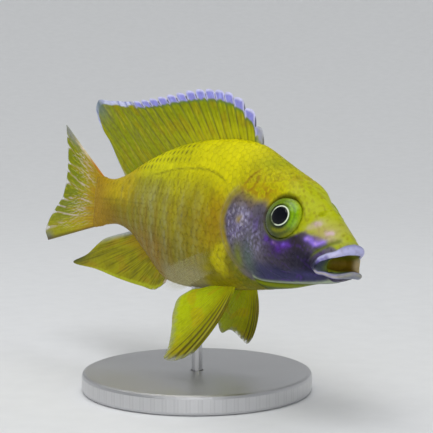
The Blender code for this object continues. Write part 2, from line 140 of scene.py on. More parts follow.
# One scale, in shares of its pitch, and the chart of the flank that the scales are laid out on.
SCALE_GRID = (7, 8)
SCALE_LENGTH = 1.75
SCALE_ROUND = 0.42
SCALE_HALF = 0.98
SCALE_NARROWING = 0.22
SCALE_ROOT = -0.36
SCALE_RISE = 0.33
SCALE_CROWN = 0.05
SCALE_THICK = 0.075
RIM_SHADE = 0.2
DASH_PLACE = 5 / 7
CHART_ENDS = (9.0, 104.6)
CHART_STATIONS = 330
CHART_ARC = 34.0
CHART_ARCS = 341

# The fins, with edges as (share of the base, station, height).
FIN_SUNK = 0.6
DORSAL_BASE = (34.7, 89.6)
DORSAL_EDGE = ((0, 35.2, 18.9), (0.03, 37.4, 21.9), (0.07, 41.3, 25.2), (0.12, 46.5, 27.8),
               (0.2, 53.0, 29.2), (0.3, 61.0, 29.4), (0.42, 70.5, 28.2), (0.55, 81.0, 26.8),
               (0.68, 91.5, 26.0), (0.8, 101.5, 26.1), (0.86, 107.6, 25.9), (0.91, 106.6, 21.4),
               (0.96, 100.4, 16.2), (1, 91.6, 8.4))
LAPPETS = 14
LAPPETS_END = 0.66
LAPPET_HEIGHT = 3.0
NOTCH_DEPTH = 2.3
ANAL_BASE = (67.2, 84.0)
ANAL_EDGE = ((0, 68.3, -17.6), (0.1, 72.0, -19.5), (0.3, 79.0, -19.6), (0.5, 89.0, -18.9),
             (0.68, 100.0, -17.7), (0.8, 111.6, -17.0), (0.87, 105.2, -14.4), (0.94, 97.0, -9.4),
             (1, 86.8, -7.1))
CAUDAL_SUNK = (1.5, 0.35)
BUNDLES = 10
CAUDAL_EDGE = ((0, 122.8, 19.3), (0.12, 121.8, 15.6), (0.27, 119.6, 11.0), (0.42, 118.5, 6.2),
               (0.5, 118.8, 3.2), (0.6, 120.2, 0.0), (0.72, 124.0, -3.2), (0.86, 128.0, -7.4),
               (0.95, 129.0, -10.6), (1, 127.0, -12.7))
PECTORAL_BASE = ((35.4, -4.8), (35.2, -10.4))
PECTORAL_EDGE = ((0, 52.5, 8.2), (0.2, 55.4, 10.8), (0.4, 54.4, 13.4), (0.6, 50.5, 14.2),
                 (0.8, 46.0, 13.4), (1, 42.0, 11.4))
PECTORAL_SPREAD = 4.6
PECTORAL_SUNK = 0.5
PECTORAL_DROP = 3.6
PECTORAL_FREE = -9.0
PELVIC_BASE = (36.8, 42.0)
PELVIC_OFFSET = 2.7
PELVIC_EDGE = {"right": ((0, 43.4, 16.0), (0.12, 48.2, 18.0), (0.2, 51.8, 18.3), (0.4, 53.2, 15.0),
                         (0.6, 55.0, 10.5), (0.8, 56.2, 6.5), (0.92, 55.8, 3.2), (1, 52.5, 1.0)),
               "left": ((0, 45.0, 13.8), (0.1, 47.3, 15.1), (0.25, 49.1, 13.8), (0.42, 51.4, 11.8),
                        (0.62, 55.9, 13.1), (0.8, 56.2, 10.0), (0.92, 55.0, 5.0), (1, 51.0, 1.6))}
PELVIC_BOW = 1.9
PELVIC_GAP = 0.3
PELVIC_LINES = ((0.02, 0.024, 0.85), (0.085, 0.018, 0.95), (0.15, 0.015, 0.85), (0.22, 0.012, 0.6))
PELVIC_SPLAY = {"right": 20.0, "left": 30.0}
SIDES = {"right": -1, "left": 1}

# The skin's grid: rings along the body, round the snout, over the lips and into the mouth.
AROUND = 288
BODY_RINGS = 108
SHOULDER_RINGS = 104
SNOUT_RINGS = 60
LIP_RINGS = 20
MEMBRANE_RINGS = 14
MOUTH_RINGS = 20
SHOULDER = 37.0
SNOUT_START = 14.0
LIP_TURN = math.radians(200)
MOUTH_BACK = (11.0, 0.0, -5.6)
CORNER_FOLD = 0.5
FADE_RINGS = 6
SEAM = 0.002

# The floor and the lights in metres, a light as (name, place, target, size, power), and the view.
FLOOR_SIZE = 8.0
FLOOR_FLAT = 0.4
FLOOR_RISE = 0.35
FLOOR_GRID = 96
SURROUND = (0.88, 0.9, 0.92, 1)
SURROUND_STRENGTH = 0.2
AIM = (0.0, 0.0, 0.045)
LIGHTS = (("overhead", (0.0, 0.0, 2.2), (0.0, 0.0, 0.0), 2.4, 27.0),
          ("above", (0.10, -0.22, 0.62), AIM, 0.4, 1.35),
          ("front", (0.55, -0.45, 0.22), AIM, 0.5, 0.35),
          ("low", (0.42, -0.30, 0.06), AIM, 0.3, 0.3))
CAMERA_PLACE = (255.9, -181.0, 72.3)
CAMERA_TURN = (90 - 5.75, 0.0, 53.89)
SENSOR = 36.0
FOCAL_PIXELS = 1354.84
PHOTO_WIDTH = 433

# Tints as on a screen, from 0 to 255.
YELLOW = (218, 212, 2)
BACK_YELLOW = (214, 214, 2)
GOLD = (170, 150, 4)
AMBER = (166, 136, 4)
OLIVE = (148, 142, 8)
DIM_OLIVE = (116, 110, 8)
BROWN = (150, 114, 20)
BAR = (172, 172, 132)
SLATE = (106, 100, 112)
GREY_BROWN = (120, 104, 84)
DARK_SLATE = (54, 48, 52)
VIOLET = (104, 56, 176)
DEEP_VIOLET = (62, 44, 86)
BRIGHT_VIOLET = (156, 124, 255)
LAVENDER = (182, 176, 224)
NAVY = (34, 30, 60)
BLUE_SLATE = (56, 56, 96)
TEAL = (94, 112, 100)
LEAF = (172, 184, 14)
MOSS = (104, 116, 26)
DARK_GREEN = (70, 86, 12)
PALE_GREEN = (170, 184, 150)
PINK = (214, 178, 206)
DARK_OLIVE = (62, 56, 10)
LIP = (190, 190, 232)
# MOUTH and THROAT_BROWN are lighter than the mouth's own lining: painted light against the shade inside
# the mouth.
MOUTH = (150, 160, 24)
THROAT_BROWN = (142, 110, 30)

# Marks on the flank: dark lines and their strength, then pale bars as (station, width, strength).
LATERAL_LINES = ((((36.3, 7.2), (38.5, 8.6), (43.0, 10.1), (48.5, 10.7), (54.3, 10.5), (60.0, 10.1),
                   (65.0, 9.2), (70.0, 8.4), (75.0, 7.6)), 0.5),
                 (((70.0, 1.0), (80.0, 1.0), (90.0, 0.9), (100.0, 0.6)), 0.3))
BARS = ((86.5, 0.5, 0.3), (82.0, 0.6, 0.3), (77.8, 0.7, 0.5), (74.2, 0.7, 0.55), (68.6, 1.0, 0.85),
        (61.2, 1.1, 0.7), (53.4, 1.1, 0.6), (46.5, 1.0, 0.35))

# The bright patch at the pectoral fin's root, and the edge of the slate and violet face.
WEDGE = ((33.6, -4.6), (36.2, -5.0), (39.2, -6.8), (40.6, -9.0), (39.4, -11.2), (37.2, -12.4),
         (35.4, -11.6), (35.3, -9.2), (34.8, -7.0))
PURPLE = ((35.2, 5.8), (33.6, 6.8), (32.0, 7.0), (28.8, 6.2), (25.0, 5.4), (22.9, 4.9), (21.6, 3.9),
          (21.1, 2.2), (20.7, 0.2), (19.3, -1.5), (17.3, -2.0), (15.2, -1.8), (13.7, -1.0), (12.4, -0.2),
          (11.4, -0.2), (9.7, -0.8), (7.4, -1.4), (5.2, -2.5), (3.3, -3.4), (0.6, -4.5), (-0.4, -16.0),
          (20.0, -15.0), (26.0, -12.4), (28.4, -12.0), (29.8, -11.0), (32.0, -7.3), (34.0, -4.6),
          (35.2, -1.8), (35.6, 0.8), (35.5, 3.2))

# Spots on the face, as (station, height, length, height across, tint, strength).
SPOTS = ((20.7, -2.5, 0.9, 0.8, VIOLET, 0.7), (18.5, -3.5, 1.1, 0.6, VIOLET, 0.9),
         (15.8, -3.4, 1.3, 0.9, VIOLET, 0.95), (17.5, -4.6, 0.9, 0.7, VIOLET, 0.6),
         (18.3, -3.5, 0.5, 0.4, PINK, 0.35), (15.9, -3.2, 0.5, 0.4, BRIGHT_VIOLET, 0.5),
         (8.8, -1.7, 2.2, 1.1, VIOLET, 0.45), (10.2, -1.8, 0.9, 0.6, BRIGHT_VIOLET, 0.9),
         (8.4, -2.2, 1.1, 0.6, BRIGHT_VIOLET, 1.0), (7.1, -1.9, 0.8, 0.6, BRIGHT_VIOLET, 0.8),
         (8.4, -2.2, 0.5, 0.3, PINK, 0.5), (10.3, -1.8, 0.4, 0.3, PINK, 0.4),
         (7.6, 0.2, 2.6, 1.7, (178, 160, 104), 0.65), (9.6, 1.5, 0.8, 0.8, PINK, 0.6),
         (6.5, -0.1, 0.8, 0.6, PINK, 0.75), (10.9, 0.7, 0.8, 0.6, PINK, 0.35),
         (5.6, -1.4, 1.6, 0.8, (186, 166, 150), 0.5), (31.5, 1.4, 1.2, 1.7, DARK_SLATE, 0.8),
         (29.9, 0.9, 1.5, 1.7, LAVENDER, 0.35), (29.9, 0.7, 0.9, 0.9, GOLD, 0.8))

# Brown marks over the gill cover, as (line, width, strength).
HEAD_MARKS = ((((31.6, 7.4), (30.9, 9.0), (29.9, 10.6), (28.4, 12.0)), 0.35, 0.85),
              (((28.9, 6.6), (28.3, 7.8), (28.0, 9.4), (28.9, 10.8)), 0.4, 0.8),
              (((26.2, 7.4), (26.0, 9.0), (26.8, 10.8)), 0.3, 0.5),
              (((24.2, 8.4), (23.0, 9.6), (21.0, 10.2)), 0.3, 0.3))


def linear(tint):
    """A tint as the linear values that a material takes.  Colours place by place stay as they are."""
    if not isinstance(tint, tuple):
        return tint
    share = np.array(tint) / 255
    return np.where(share > 0.04045, ((share + 0.055) / 1.055) ** 2.4, share / 12.92)


def lay(colour, coats):
    """Lay coats over a colour, each with its share from nought to one."""
    colour = linear(colour)
    for coat, share in coats:
        colour = colour + (linear(coat) - colour) * np.clip(share, 0, 1)[..., None]
    return colour


def curve(keys, at):
    """Read a smooth curve through (place, value) keys at an array of places."""
    places, values = np.array(keys, float).T
    slopes = np.gradient(values, places)
    i = np.clip(np.searchsorted(places, at) - 1, 0, len(places) - 2)
    span = places[i + 1] - places[i]
    t = np.clip((at - places[i]) / span, 0, 1)
    rise = t * t * (3 - 2 * t)
    start = t * (1 - t) ** 2 * span * slopes[i]
    end = t * t * (t - 1) * span * slopes[i + 1]
    return values[i] * (1 - rise) + values[i + 1] * rise + start + end


def column(keys, k):
    """The (place, value) keys of one column of a table."""
    return [(row[0], row[k]) for row in keys]


def ramp(low, high, value):
    """Nought below low, one above high, and smooth between."""
    t = np.clip((value - low) / (high - low), 0, 1)
    return t * t * (3 - 2 * t)


def bump(centre, width, value):
    """A round hill of height one at a centre."""
    return np.exp(-((value - centre) / width) ** 2)


def waves(place, size, seed):
    """Soft noise about nought, made of crossing waves, over an array of places."""
    draw = np.random.default_rng(seed)
    total = 0
    for _ in range(9):
        way = draw.normal(size=place.shape[-1])
        way *= math.tau / size * draw.uniform(0.6, 1.5) / np.linalg.norm(way)
        total = total + np.sin(place @ way + draw.uniform(0, math.tau))
    return total / 3


def rounded(points, steps=5):
    """Put extra points on a smooth curve through an outline's points."""
    ticks = np.linspace(0, len(points) - 1, (len(points) - 1) * steps + 1)
    return np.stack([curve(list(enumerate(axis)), ticks) for axis in zip(*points)], -1)


def from_line(points, s, z):
    """How far places are from a smooth open line, more than nought on its right side going along it,
    and the share of the line where the nearest point is."""
    points = rounded(points)
    best = np.full(np.shape(s), 1e9)
    signed, share = np.zeros(np.shape(s)), np.zeros(np.shape(s))
    count = len(points) - 1
    for k in range(count):
        (s0, z0), (ds, dz) = points[k], points[k + 1] - points[k]
        t = np.clip(((s - s0) * ds + (z - z0) * dz) / (ds * ds + dz * dz), 0, 1)
        off = np.hypot(s - s0 - t * ds, z - z0 - t * dz)
        near = off < best
        side = np.sign(dz * (s - s0) - ds * (z - z0))
        best = np.where(near, off, best)
        signed = np.where(near, off * side, signed)
        share = np.where(near, (k + t) / count, share)
    return signed, share


def inside(outline, s, z):
    """How far places are inside a closed outline, less than nought outside."""
    points = np.array(outline, float)
    best = np.full(np.shape(s), 1e9)
    odd = np.zeros(np.shape(s), bool)
    for (s0, z0), (s1, z1) in zip(points, np.roll(points, -1, 0)):
        ds, dz = s1 - s0, z1 - z0
        t = np.clip(((s - s0) * ds + (z - z0) * dz) / (ds * ds + dz * dz), 0, 1)
        best = np.minimum(best, np.hypot(s - s0 - t * ds, z - z0 - t * dz))
        if dz:
            odd ^= ((z0 > z) != (z1 > z)) & (s < s0 + (z - z0) * ds / dz)
    return np.where(odd, best, -best)


def section(s):
    """The body's section: its widest height, half width, and (rise, fullness) up and down."""
    side = curve(WIDEST, s)
    up = (curve(BACK, s) - side, curve(BACK_FULLNESS, s))
    down = (curve(BELLY, s) - side, curve(BELLY_FULLNESS, s))
    return side, curve(HALF_WIDTH, s), up, down


def flesh(s, angle):
    """The point of the body at a station and an angle: 0 is the left side and 90 degrees the back."""
    side, half, up, down = section(s)
    across, lift = np.cos(angle), np.sin(angle)
    rise = np.where(lift > 0, up[0], down[0])
    power = 2 / np.where(lift > 0, up[1], down[1])
    close = np.clip((SKIN_END - s) / (SKIN_END - BODY_END), 0, 1) ** 0.6
    y = half * close * np.sign(across) * np.abs(across) ** power
    return np.stack(np.broadcast_arrays(s, y, side + rise * np.abs(lift) ** power), -1)


def half_width_at(s, z):
    """How far the skin is from the middle plane at one height."""
    side, half, up, down = section(s)
    above = z > side
    rise = np.where(above, up[0], down[0])
    fullness = np.where(above, up[1], down[1])
    return half * (1 - np.clip(np.abs((z - side) / rise), 0, 1) ** fullness) ** (1 / fullness)


def belly_at(s, y):
    """The height of the belly at a distance from the middle."""
    side, half, _, (rise, fullness) = section(s)
    return side + rise * (1 - np.minimum(np.abs(y) / half, 1) ** fullness) ** (1 / fullness)


def to_row(points):
    """Points of the fish, as station, y and height, in the row frame in metres."""
    s, y, z = np.moveaxis(points, -1, 0)
    across = y * math.cos(BANK) + z * math.sin(BANK) + ROD_BELLY * math.sin(BANK)
    up = z * math.cos(BANK) - y * math.sin(BANK) + AXIS_HEIGHT
    return np.stack([ROD_STATION - s, across, up], -1) * MM


def crossed(first, second):
    """Unit vectors square to two arrays of directions, given as station, y and height."""
    turn = np.array((-1.0, 1.0, 1.0))
    out = np.cross(first * turn, second * turn)
    return out * turn / np.maximum(np.linalg.norm(out, axis=-1, keepdims=True), 1e-9)


def eye_facing():
    """The middle of the left eye and the way it looks, as station, y and height."""
    step = 0.5
    reach = half_width_at(EYE_STATION, EYE_HEIGHT)
    along = half_width_at(EYE_STATION + step, EYE_HEIGHT) - half_width_at(EYE_STATION - step, EYE_HEIGHT)
    above = half_width_at(EYE_STATION, EYE_HEIGHT + step) - half_width_at(EYE_STATION, EYE_HEIGHT - step)
    way = np.array((-float(along) / (2 * step), 1.0, -float(above) / (2 * step)))
    return np.array((EYE_STATION, float(reach), EYE_HEIGHT)), way / np.linalg.norm(way)


EYE_MIDDLE, EYE_WAY = eye_facing()


def from_eye(points):
    """How far points are from the line that the nearer eye looks along."""
    rel = points * np.array((1, 0, 1)) + np.abs(points) * np.array((0, 1, 0)) - EYE_MIDDLE
    along = (rel @ EYE_WAY)[..., None] * EYE_WAY
    return np.linalg.norm(rel - along, axis=-1)


def ends_fade(share, at=0.1):
    """Fade a line's mark at both of its ends."""
    return ramp(0, at, share) * ramp(0, at, 1 - share)


def relief(points):
    """How far the skin stands out from the plain body, for the head's bones, folds and pits."""
    s, y, z = np.moveaxis(points, -1, 0)
    out = np.zeros(s.shape)
    near = s < HEAD_RELIEF_END
    p, s, z = points[near], s[near], z[near]
    gap, share = from_line(GILL_EDGE, s, z)
    cover = GILL_STEP * np.exp(np.minimum(gap, 0) / GILL_SPREAD)
    groove = -GILL_STEP * np.exp(-np.maximum(gap, 0) / GILL_SPREAD)
    edge = ramp(-0.4, 0.4, gap)
    high = (cover * (1 - edge) + groove * edge) * ends_fade(share, 0.08)
    for line, fade, hills in RELIEF_LINES:
        gap, share = from_line(line, s, z)
        high += sum(rise * bump(at, wide, gap) for rise, at, wide in hills) * ends_fade(share, fade)
    reach = from_eye(p)
    high += 0.14 * bump(5.0, 0.5, reach) - 0.12 * bump(EYE_CLEAR, 0.8, reach)
    high += BROW_HEIGHT * bump(EYE_STATION, 5.0, s) * ramp(5.2, 7.6, z) * ramp(0.6, 3.4, np.abs(y[near]))
    high -= SOCKET_DEPTH * ramp(SOCKET_EDGE, SOCKET_WALL, reach)
    s0, z0, wide = NOSTRIL
    hole = np.hypot(s - s0, z - z0)
    high += 0.12 * bump(wide * 1.5, 0.25, hole) - 0.6 * bump(0, wide * 0.8, hole)
    for s0, z0 in PITS:
        high -= PIT_DEPTH * bump(0, PIT_WIDTH, np.hypot(s - s0, z - z0))
    out[near] = high
    return out


def coat_depth(s, z):
    """How far places are inside the scales' outlines, less than nought outside."""
    return np.max([inside(outline, s, z) for outline in (BODY_COAT, GILL_COAT, CHEEK_COAT)], axis=0)


def blob(s, z, s0, z0, wide, tall):
    """A soft oval patch."""
    return np.exp(-((s - s0) / wide) ** 2 - ((z - z0) / tall) ** 2)


def paint_flank(s, z):
    """The colours of the trunk and tail stalk."""
    place = np.stack([s, z], -1)
    soft = waves(place, 9.0, 3)
    fine = waves(place, 2.6, 4)
    rear = ramp(44, 70, s)
    upright = waves(place * (1, 0.22), 1.7, 15)
    flank = ramp(37, 42, s) * ramp(84, 74, s) * ramp(9.5, 6, z) * ramp(-14, -11, z)
    under = ramp(43, 48, s) * ramp(70, 60, s)
    breast = ramp(47, 42, s) * ramp(-5.5, -8.5, z + 0.15 * (s - 38))
    wedge = ramp(-1.2, 1.1, inside(WEDGE, s, z) + 0.15 * fine) * (1 - 0.25 * ramp(-8.5, -12, z))
    colour = lay(YELLOW, [
        (BACK_YELLOW, ramp(48, 70, s)),
        (GOLD, ramp(9, 0, z + 0.8 * soft) * (1 - 0.4 * rear) * 0.85),
        (OLIVE, rear * ramp(12, 3, z + 0.6 * soft) * 0.85),
        # Darker toward the belly: partly the fish's own olive, partly painted shade of the light from
        # above.
        (DIM_OLIVE, ramp(40, 52, s) * ramp(2, -9, z + soft) * 0.6),
        (BROWN, ramp(54, 68, s) * ramp(-2, -10, z + 0.5 * soft) * 0.8),
        (BROWN, ramp(80, 92, s) * ramp(4, -2, z) * 0.7),
        ((210, 184, 16), ramp(74, 86, s) * ramp(-1, 3, z + 0.5 * soft) * 0.85),
        (AMBER, blob(s, z, 38.5, -0.5, 4.5, 6.5) * 0.85),
        (OLIVE, ramp(0.3, 1.0, fine) * ramp(11, 6, z) * 0.3),
        ((128, 122, 8), blob(s, z, 49.0, 1.0, 4.6, 4.4) * 0.6),
        ((170, 162, 6), blob(s, z, 46.5, 7.0, 4.0, 2.6) * 0.6),
        # Painted light: a brighter yellow on the back under the dorsal fin's rear root, against the fin's
        # shade there.
        ((240, 238, 2), blob(s, z, 73.0, 12.6, 8.0, 2.8) * 0.8),
        ((186, 182, 84), blob(s, z, 71.0, 2.6, 5.0, 4.0) * 0.55),
        (BROWN, ramp(0.3, 1.0, -fine) * ramp(60, 44, s) * ramp(8, 2, z) * 0.35),
        ((112, 98, 20), ramp(0.3, 1.2, upright) * flank * 0.42),
        ((178, 172, 70), ramp(0.4, 1.2, -upright) * flank * 0.3),
        ((74, 70, 8), ramp(1.0, 1.5, waves(place, 1.1, 16)) * flank * 0.5),
        ((156, 148, 104), under * ramp(-10.5, -13.5, z + 0.4 * soft) * 0.85),
        ((126, 122, 6), breast * 0.75),
        (MOSS, breast * ramp(34.5, 31.5, s) * 0.6),
        ((216, 206, 0), wedge * 0.88),
    ])
    for at, wide, much in BARS:
        bar = bump(at, 1.6 * wide, s + 0.3 * soft + 0.15 * fine + 0.03 * z)
        bar *= 0.6 + 0.4 * np.clip(fine, -1, 1)
        colour = lay(colour, [
            (BAR, bar * ramp(9, 3, z) * ramp(-15, -10, z) * much * 0.5),
            (BROWN, bump(at - 2.6, 1.2, s) * ramp(5, -1, z) * rear * 0.4),
        ])
    colour = lay(colour, [((184, 146, 26), ramp(88, 101, s) * 0.85)])
    for line, much in LATERAL_LINES:
        gap, share = from_line(line, s, z)
        colour = lay(colour, [(DARK_OLIVE, bump(0, 0.22, gap) * ends_fade(share, 0.15) * much)])
    return colour


def paint_face(s, y, z):
    """The slate, violet and lavender of the gill cover, cheek and jaw."""
    place = np.stack([s, np.abs(y), z], -1)
    soft = waves(place, 4.0, 7)
    fine = waves(place, 1.3, 6)
    flecks = waves(place * (1.7, 1.0, 0.75), 1.2, 9)
    web = ramp(0.1, 0.9, flecks) * ramp(-0.8, 0.6, waves(place, 3.0, 10))
    web = np.maximum(web, ramp(0.4, 1.1, waves(place * (1.8, 1.0, 0.8), 0.8, 13)))
    net = ramp(1.25, 0.6, np.hypot((s - 30.6) / 4.2, (z + 0.2) / 4.4))
    return lay(SLATE, [
        (GREY_BROWN, ramp(2.6, 5.4, z + 0.5 * soft) * ramp(21, 24, s)),
        (DARK_SLATE, blob(s, z, 23.8, 0.2, 2.0, 3.4) * 0.7),
        (DARK_SLATE, blob(s, z, 33.8, 1.2, 1.2, 2.6) * 0.5),
        ((124, 116, 146), net * 0.35),
        (LAVENDER, web * net * 0.65),
        ((214, 208, 224), ramp(0.7, 1.3, flecks + 0.4 * fine) * net * 0.6),
        (VIOLET, ramp(0.3, 1.2, -flecks) * net * 0.25),
        ((152, 144, 136), blob(s, z, 30.6, 3.8, 1.5, 1.3) * 0.4),
        ((126, 106, 180), blob(s + 0.3 * fine, z, 24.3, 0.0, 0.7, 1.6) * 0.5),
        ((118, 98, 160), blob(s + 0.3 * fine, z, 26.3, 1.6, 0.6, 1.6) * 0.4),
        (DARK_SLATE, ramp(0.4, 1.0, -fine) * 0.5),
        (BLUE_SLATE, bump(27.2 + 0.12 * z, 0.5, s + 0.15 * fine) * ramp(-2.5, -4.5, z) * 0.45),
        (BLUE_SLATE, ramp(-6.5, -9.5, z + 0.4 * soft) * ramp(28, 24, s) * 0.9),
        (TEAL, blob(s, z, 26.6, -7.4, 1.9, 3.6) * 0.85),
        ((128, 138, 30), blob(s, z, 30.0, -7.4, 1.4, 3.0) * 0.85),
        (LAVENDER, web * blob(s, z, 24.6, -3.4, 2.8, 3.4) * 0.5),
        (DARK_SLATE, blob(s, z, 12.1, -3.4, 3.6, 3.4) * 0.9),
        (DEEP_VIOLET, blob(s, z, 17.9, -4.4, 3.2, 2.2) * 0.9),
        (NAVY, blob(s, z, 9.7, -7.2, 2.8, 1.9)),
        (NAVY, blob(s, z, 12.7, -5.6, 3.6, 2.6) * 0.6),
        (DARK_SLATE, blob(s, z, 13.8, -2.2, 2.0, 1.8) * 0.9),
        (VIOLET, blob(s, z, 7.4, -4.9, 1.6, 0.8) * 0.6),
        (BLUE_SLATE, blob(s, z, 11.2, -9.1, 2.8, 0.9) * 0.8),
        (DARK_SLATE, blob(s, z, 4.2, -9.2, 3.2, 0.8) * 0.8),
        (VIOLET, ramp(0.5, 1.1, fine + 0.4 * soft) * ramp(24, 20, s) * 0.25),
        ((24, 22, 34), ramp(15, 10, s) * ramp(-3.5, -5.0, z) * ramp(-9.0, -8.0, z) * 0.5),
        ((30, 28, 42), blob(s, z, 16.5, -7.4, 5.4, 1.8) * 0.55),
        ((34, 28, 32), blob(s, z, 18.5, -2.4, 2.2, 1.1) * 0.8),
        ((66, 64, 108), blob(s, z, 10.4, -9.0, 2.4, 0.7) * 0.6),
        ((48, 42, 44), blob(s, z, 14.2, -2.6, 2.6, 1.6) * 0.7),
    ])


def paint_head(s, y, z, colour):
    """Lay the head's colours over the flank's."""
    place = np.stack([s, np.abs(y), z], -1)
    soft = waves(place, 4.0, 5)
    fine = waves(place, 1.5, 8)
    head = ramp(38, 31, s + 0.25 * (z - 8))
    specks = ramp(0.6, 1.2, waves(place, 0.8, 14))
    colour = lay(colour, [
        ((196, 190, 4), head * ramp(6, 9, z)),
        (LEAF, head * ramp(25, 13, s + 0.5 * soft) * 0.85),
        (BROWN, head * ramp(0.2, 1.2, soft + 0.8 * fine) * bump(22, 7, s) * ramp(14, 11, z) * 0.35),
        (OLIVE, head * ramp(0.3, 1.0, -fine) * ramp(16, 10, z) * 0.6),
        (BROWN, head * specks * ramp(12, 20, s) * ramp(14, 9, z) * 0.4),
        ((150, 160, 8), head * blob(s, z, 26.5, 13.4, 4.0, 1.6) * 0.6),
        (BROWN, head * bump(6.9, 1.8, z) * ramp(21, 24, s) * ramp(34, 31, s) * ramp(-1, 0.7, fine) * 0.8),
    ])
    for line, wide, much in HEAD_MARKS:
        gap, share = from_line(line, s, z)
        colour = lay(colour, [(BROWN, bump(0, wide, gap) * ends_fade(share, 0.2) * much)])
    depth = inside(PURPLE, s, z)
    hazy = np.maximum(ramp(18, 26, s) * ramp(1, 4, z), ramp(27, 32, s) * 0.55)
    wide = 0.4 + 1.1 * hazy
    purple = ramp(-wide, wide, depth + 0.25 * soft - 0.5 * hazy)
    colour = lay(colour, [(paint_face(s, y, z), purple)])
    for s0, z0, wide, tall, tint, much in SPOTS:
        mark = blob(s + 0.25 * fine, z + 0.2 * soft, s0, z0, wide, tall)
        colour = lay(colour, [(tint, mark * much)])
    gap, share = from_line(GILL_EDGE, s, z)
    colour = lay(colour, [
        ((140, 124, 104), bump(-0.5, 0.6, gap) * ends_fade(share, 0.1) * 0.35),
        # Painted shade in the groove along the gill cover's edge.
        (DARK_OLIVE, bump(0.3, 0.5, gap) * ends_fade(share, 0.05) * 0.2),
    ])
    gap, share = from_line(JAW_LINE, s, z)
    colour = lay(colour, [
        (DARK_GREEN, ramp(0.2, -0.5, gap) * (s < 27) * (z < -8) * 0.95),
        (LEAF, bump(-0.75, 0.35, gap) * ends_fade(share, 0.1) * 0.45),
        (PALE_GREEN, bump(0.3, 0.32, gap) * ends_fade(share, 0.02) * 0.85),
    ])
    gap, share = from_line(LIP_FOLD, s, z)
    reach = from_eye(np.stack([s, y, z], -1))
    above = ramp(0, 3.5, z - EYE_HEIGHT + 0.7 * (s - EYE_STATION))
    colour = lay(colour, [
        (MOSS, bump(0.3, 0.5, gap) * ends_fade(share, 0.05) * ramp(10, 8, s) * 0.85),
        # This coat and the next but one darken the skin below and above the eye: painted shade round the
        # socket and under the brow.
        (DARK_OLIVE, ramp(5.4, 4.5, reach + 0.2 * fine) * (1 - above) * 0.45),
        (MOSS, bump(4.6, 0.35, reach) * ramp(-0.5, -3, z - EYE_HEIGHT) * 0.6),
        (DARK_OLIVE, bump(4.6, 0.5, reach) * above * 0.7),
        (MOSS, ramp(4.45, 4.15, reach)),
    ])
    return colour


def paint(points):
    """The colour of the skin or of a scale at points of the body."""
    s, y, z = np.moveaxis(points, -1, 0)
    colour = paint_flank(s, z)
    near = s < HEAD_PAINT_END
    colour[near] = paint_head(s[near], y[near], z[near], colour[near])
    return colour


class Wire:
    """A number in a material, on which Python's operators add Math nodes."""

    def __init__(self, shade, socket):
        self.shade = shade
        self.socket = socket

    def join(self, operation, first, second):
        return self.shade.add("Math", {"operation": operation}, {0: first, 1: second})

    def __add__(self, other):
        return self.join("ADD", self, other)

    def __sub__(self, other):
        return self.join("SUBTRACT", self, other)

    def __mul__(self, other):
        return self.join("MULTIPLY", self, other)

    def __rsub__(self, other):
        return self.join("SUBTRACT", other, self)

    __radd__ = __add__
    __rmul__ = __mul__


class Shade:
    """A material being made, with one Principled surface."""

    def __init__(self, name, **constants):
        self.material = bpy.data.materials.new(name)
        self.material.use_nodes = True
        self.tree = self.material.node_tree
        self.surface = self.tree.nodes["Principled BSDF"]
        for key, value in constants.items():
            self.surface.inputs[key.replace("_", " ")].default_value = value

    def add(self, kind, settings, values, out=0):
        """Add a node, make its settings, then fill its sockets with numbers or links."""
        node = self.tree.nodes.new("ShaderNode" + kind)
        for key, value in settings.items():
            if key == "stops":
                for k, (place, tone) in enumerate(value):
                    stop = node.color_ramp.elements[k] if k < 2 else node.color_ramp.elements.new(place)
                    stop.position = place
                    stop.color = (*tone, 1) if isinstance(tone, tuple) else (tone, tone, tone, 1)
            else:
                setattr(node, key, value)
        for key, value in values.items():
            if isinstance(value, Wire):
                self.tree.links.new(value.socket, node.inputs[key])
            else:
                node.inputs[key].default_value = value
        return Wire(self, node.outputs[out])

    def mix(self, first, second, share, blend="MIX"):
        """Blend two colours."""
        settings = {"data_type": "RGBA", "blend_type": blend}
        return self.add("Mix", settings, {0: share, 6: first, 7: second}, 2)

    def layer_of(self, name, out=0):
        """Read an attribute of the piece: its colour, or a number with out 2."""
        return self.add("Attribute", {"attribute_name": name}, {}, out)

    def noise(self, size, detail=2.0):
        """Noise with lumps of a size in millimetres, from the place on the piece."""
        place = self.add("TexCoord", {}, {}, 3)
        return self.add("TexNoise", {}, {"Vector": place, "Scale": 1000 / size, "Detail": detail})

    def put(self, socket, wire):
        """Feed a socket of the surface."""
        self.tree.links.new(wire.socket, self.surface.inputs[socket])

    def relief(self, height, distance):
        """Bump the surface by a height, over a distance in millimetres."""
        self.put("Normal", self.add("Bump", {}, {"Height": height, "Distance": distance * MM}))


def skin_material(name, scaled):
    """Moist skin, and scales with fine ridges and a darker rim."""
    shade = Shade(name, IOR=1.4, Specular_IOR_Level=0.12, Coat_Weight=0.05, Coat_Roughness=0.15,
                  Coat_IOR=1.35)
    grain = shade.noise(0.9)
    cloud = shade.noise(3.5)
    tint = shade.mix(shade.layer_of("tint"), (1.25, 1.2, 1.1, 1), (cloud - 0.5) * 0.5, "MULTIPLY")
    tint = shade.mix(tint, (0.55, 0.5, 0.42, 1), (grain - 0.52) * 1.6, "MULTIPLY")
    height = grain * 0.5 + shade.noise(0.35) * 0.25
    if scaled:
        plate = shade.add("UVMap", {"uv_map": "plate"}, {})
        along, across = (shade.add("SeparateXYZ", {}, {0: plate}, k) for k in (0, 1))
        fan = shade.add("Math", {"operation": "SINE"}, {0: across * 60})
        rings = shade.add("Math", {"operation": "SINE"}, {0: along * 95})
        tint = shade.mix(tint, (0.32, 0.27, 0.16, 1), shade.layer_of("rim", 2), "MULTIPLY")
        height = height + fan * 0.25 + rings * 0.18
    shade.put("Base Color", tint)
    shade.put("Roughness", grain * 0.25 + 0.26)
    shade.relief(height, 0.05 if scaled else 0.09)
    return shade.material


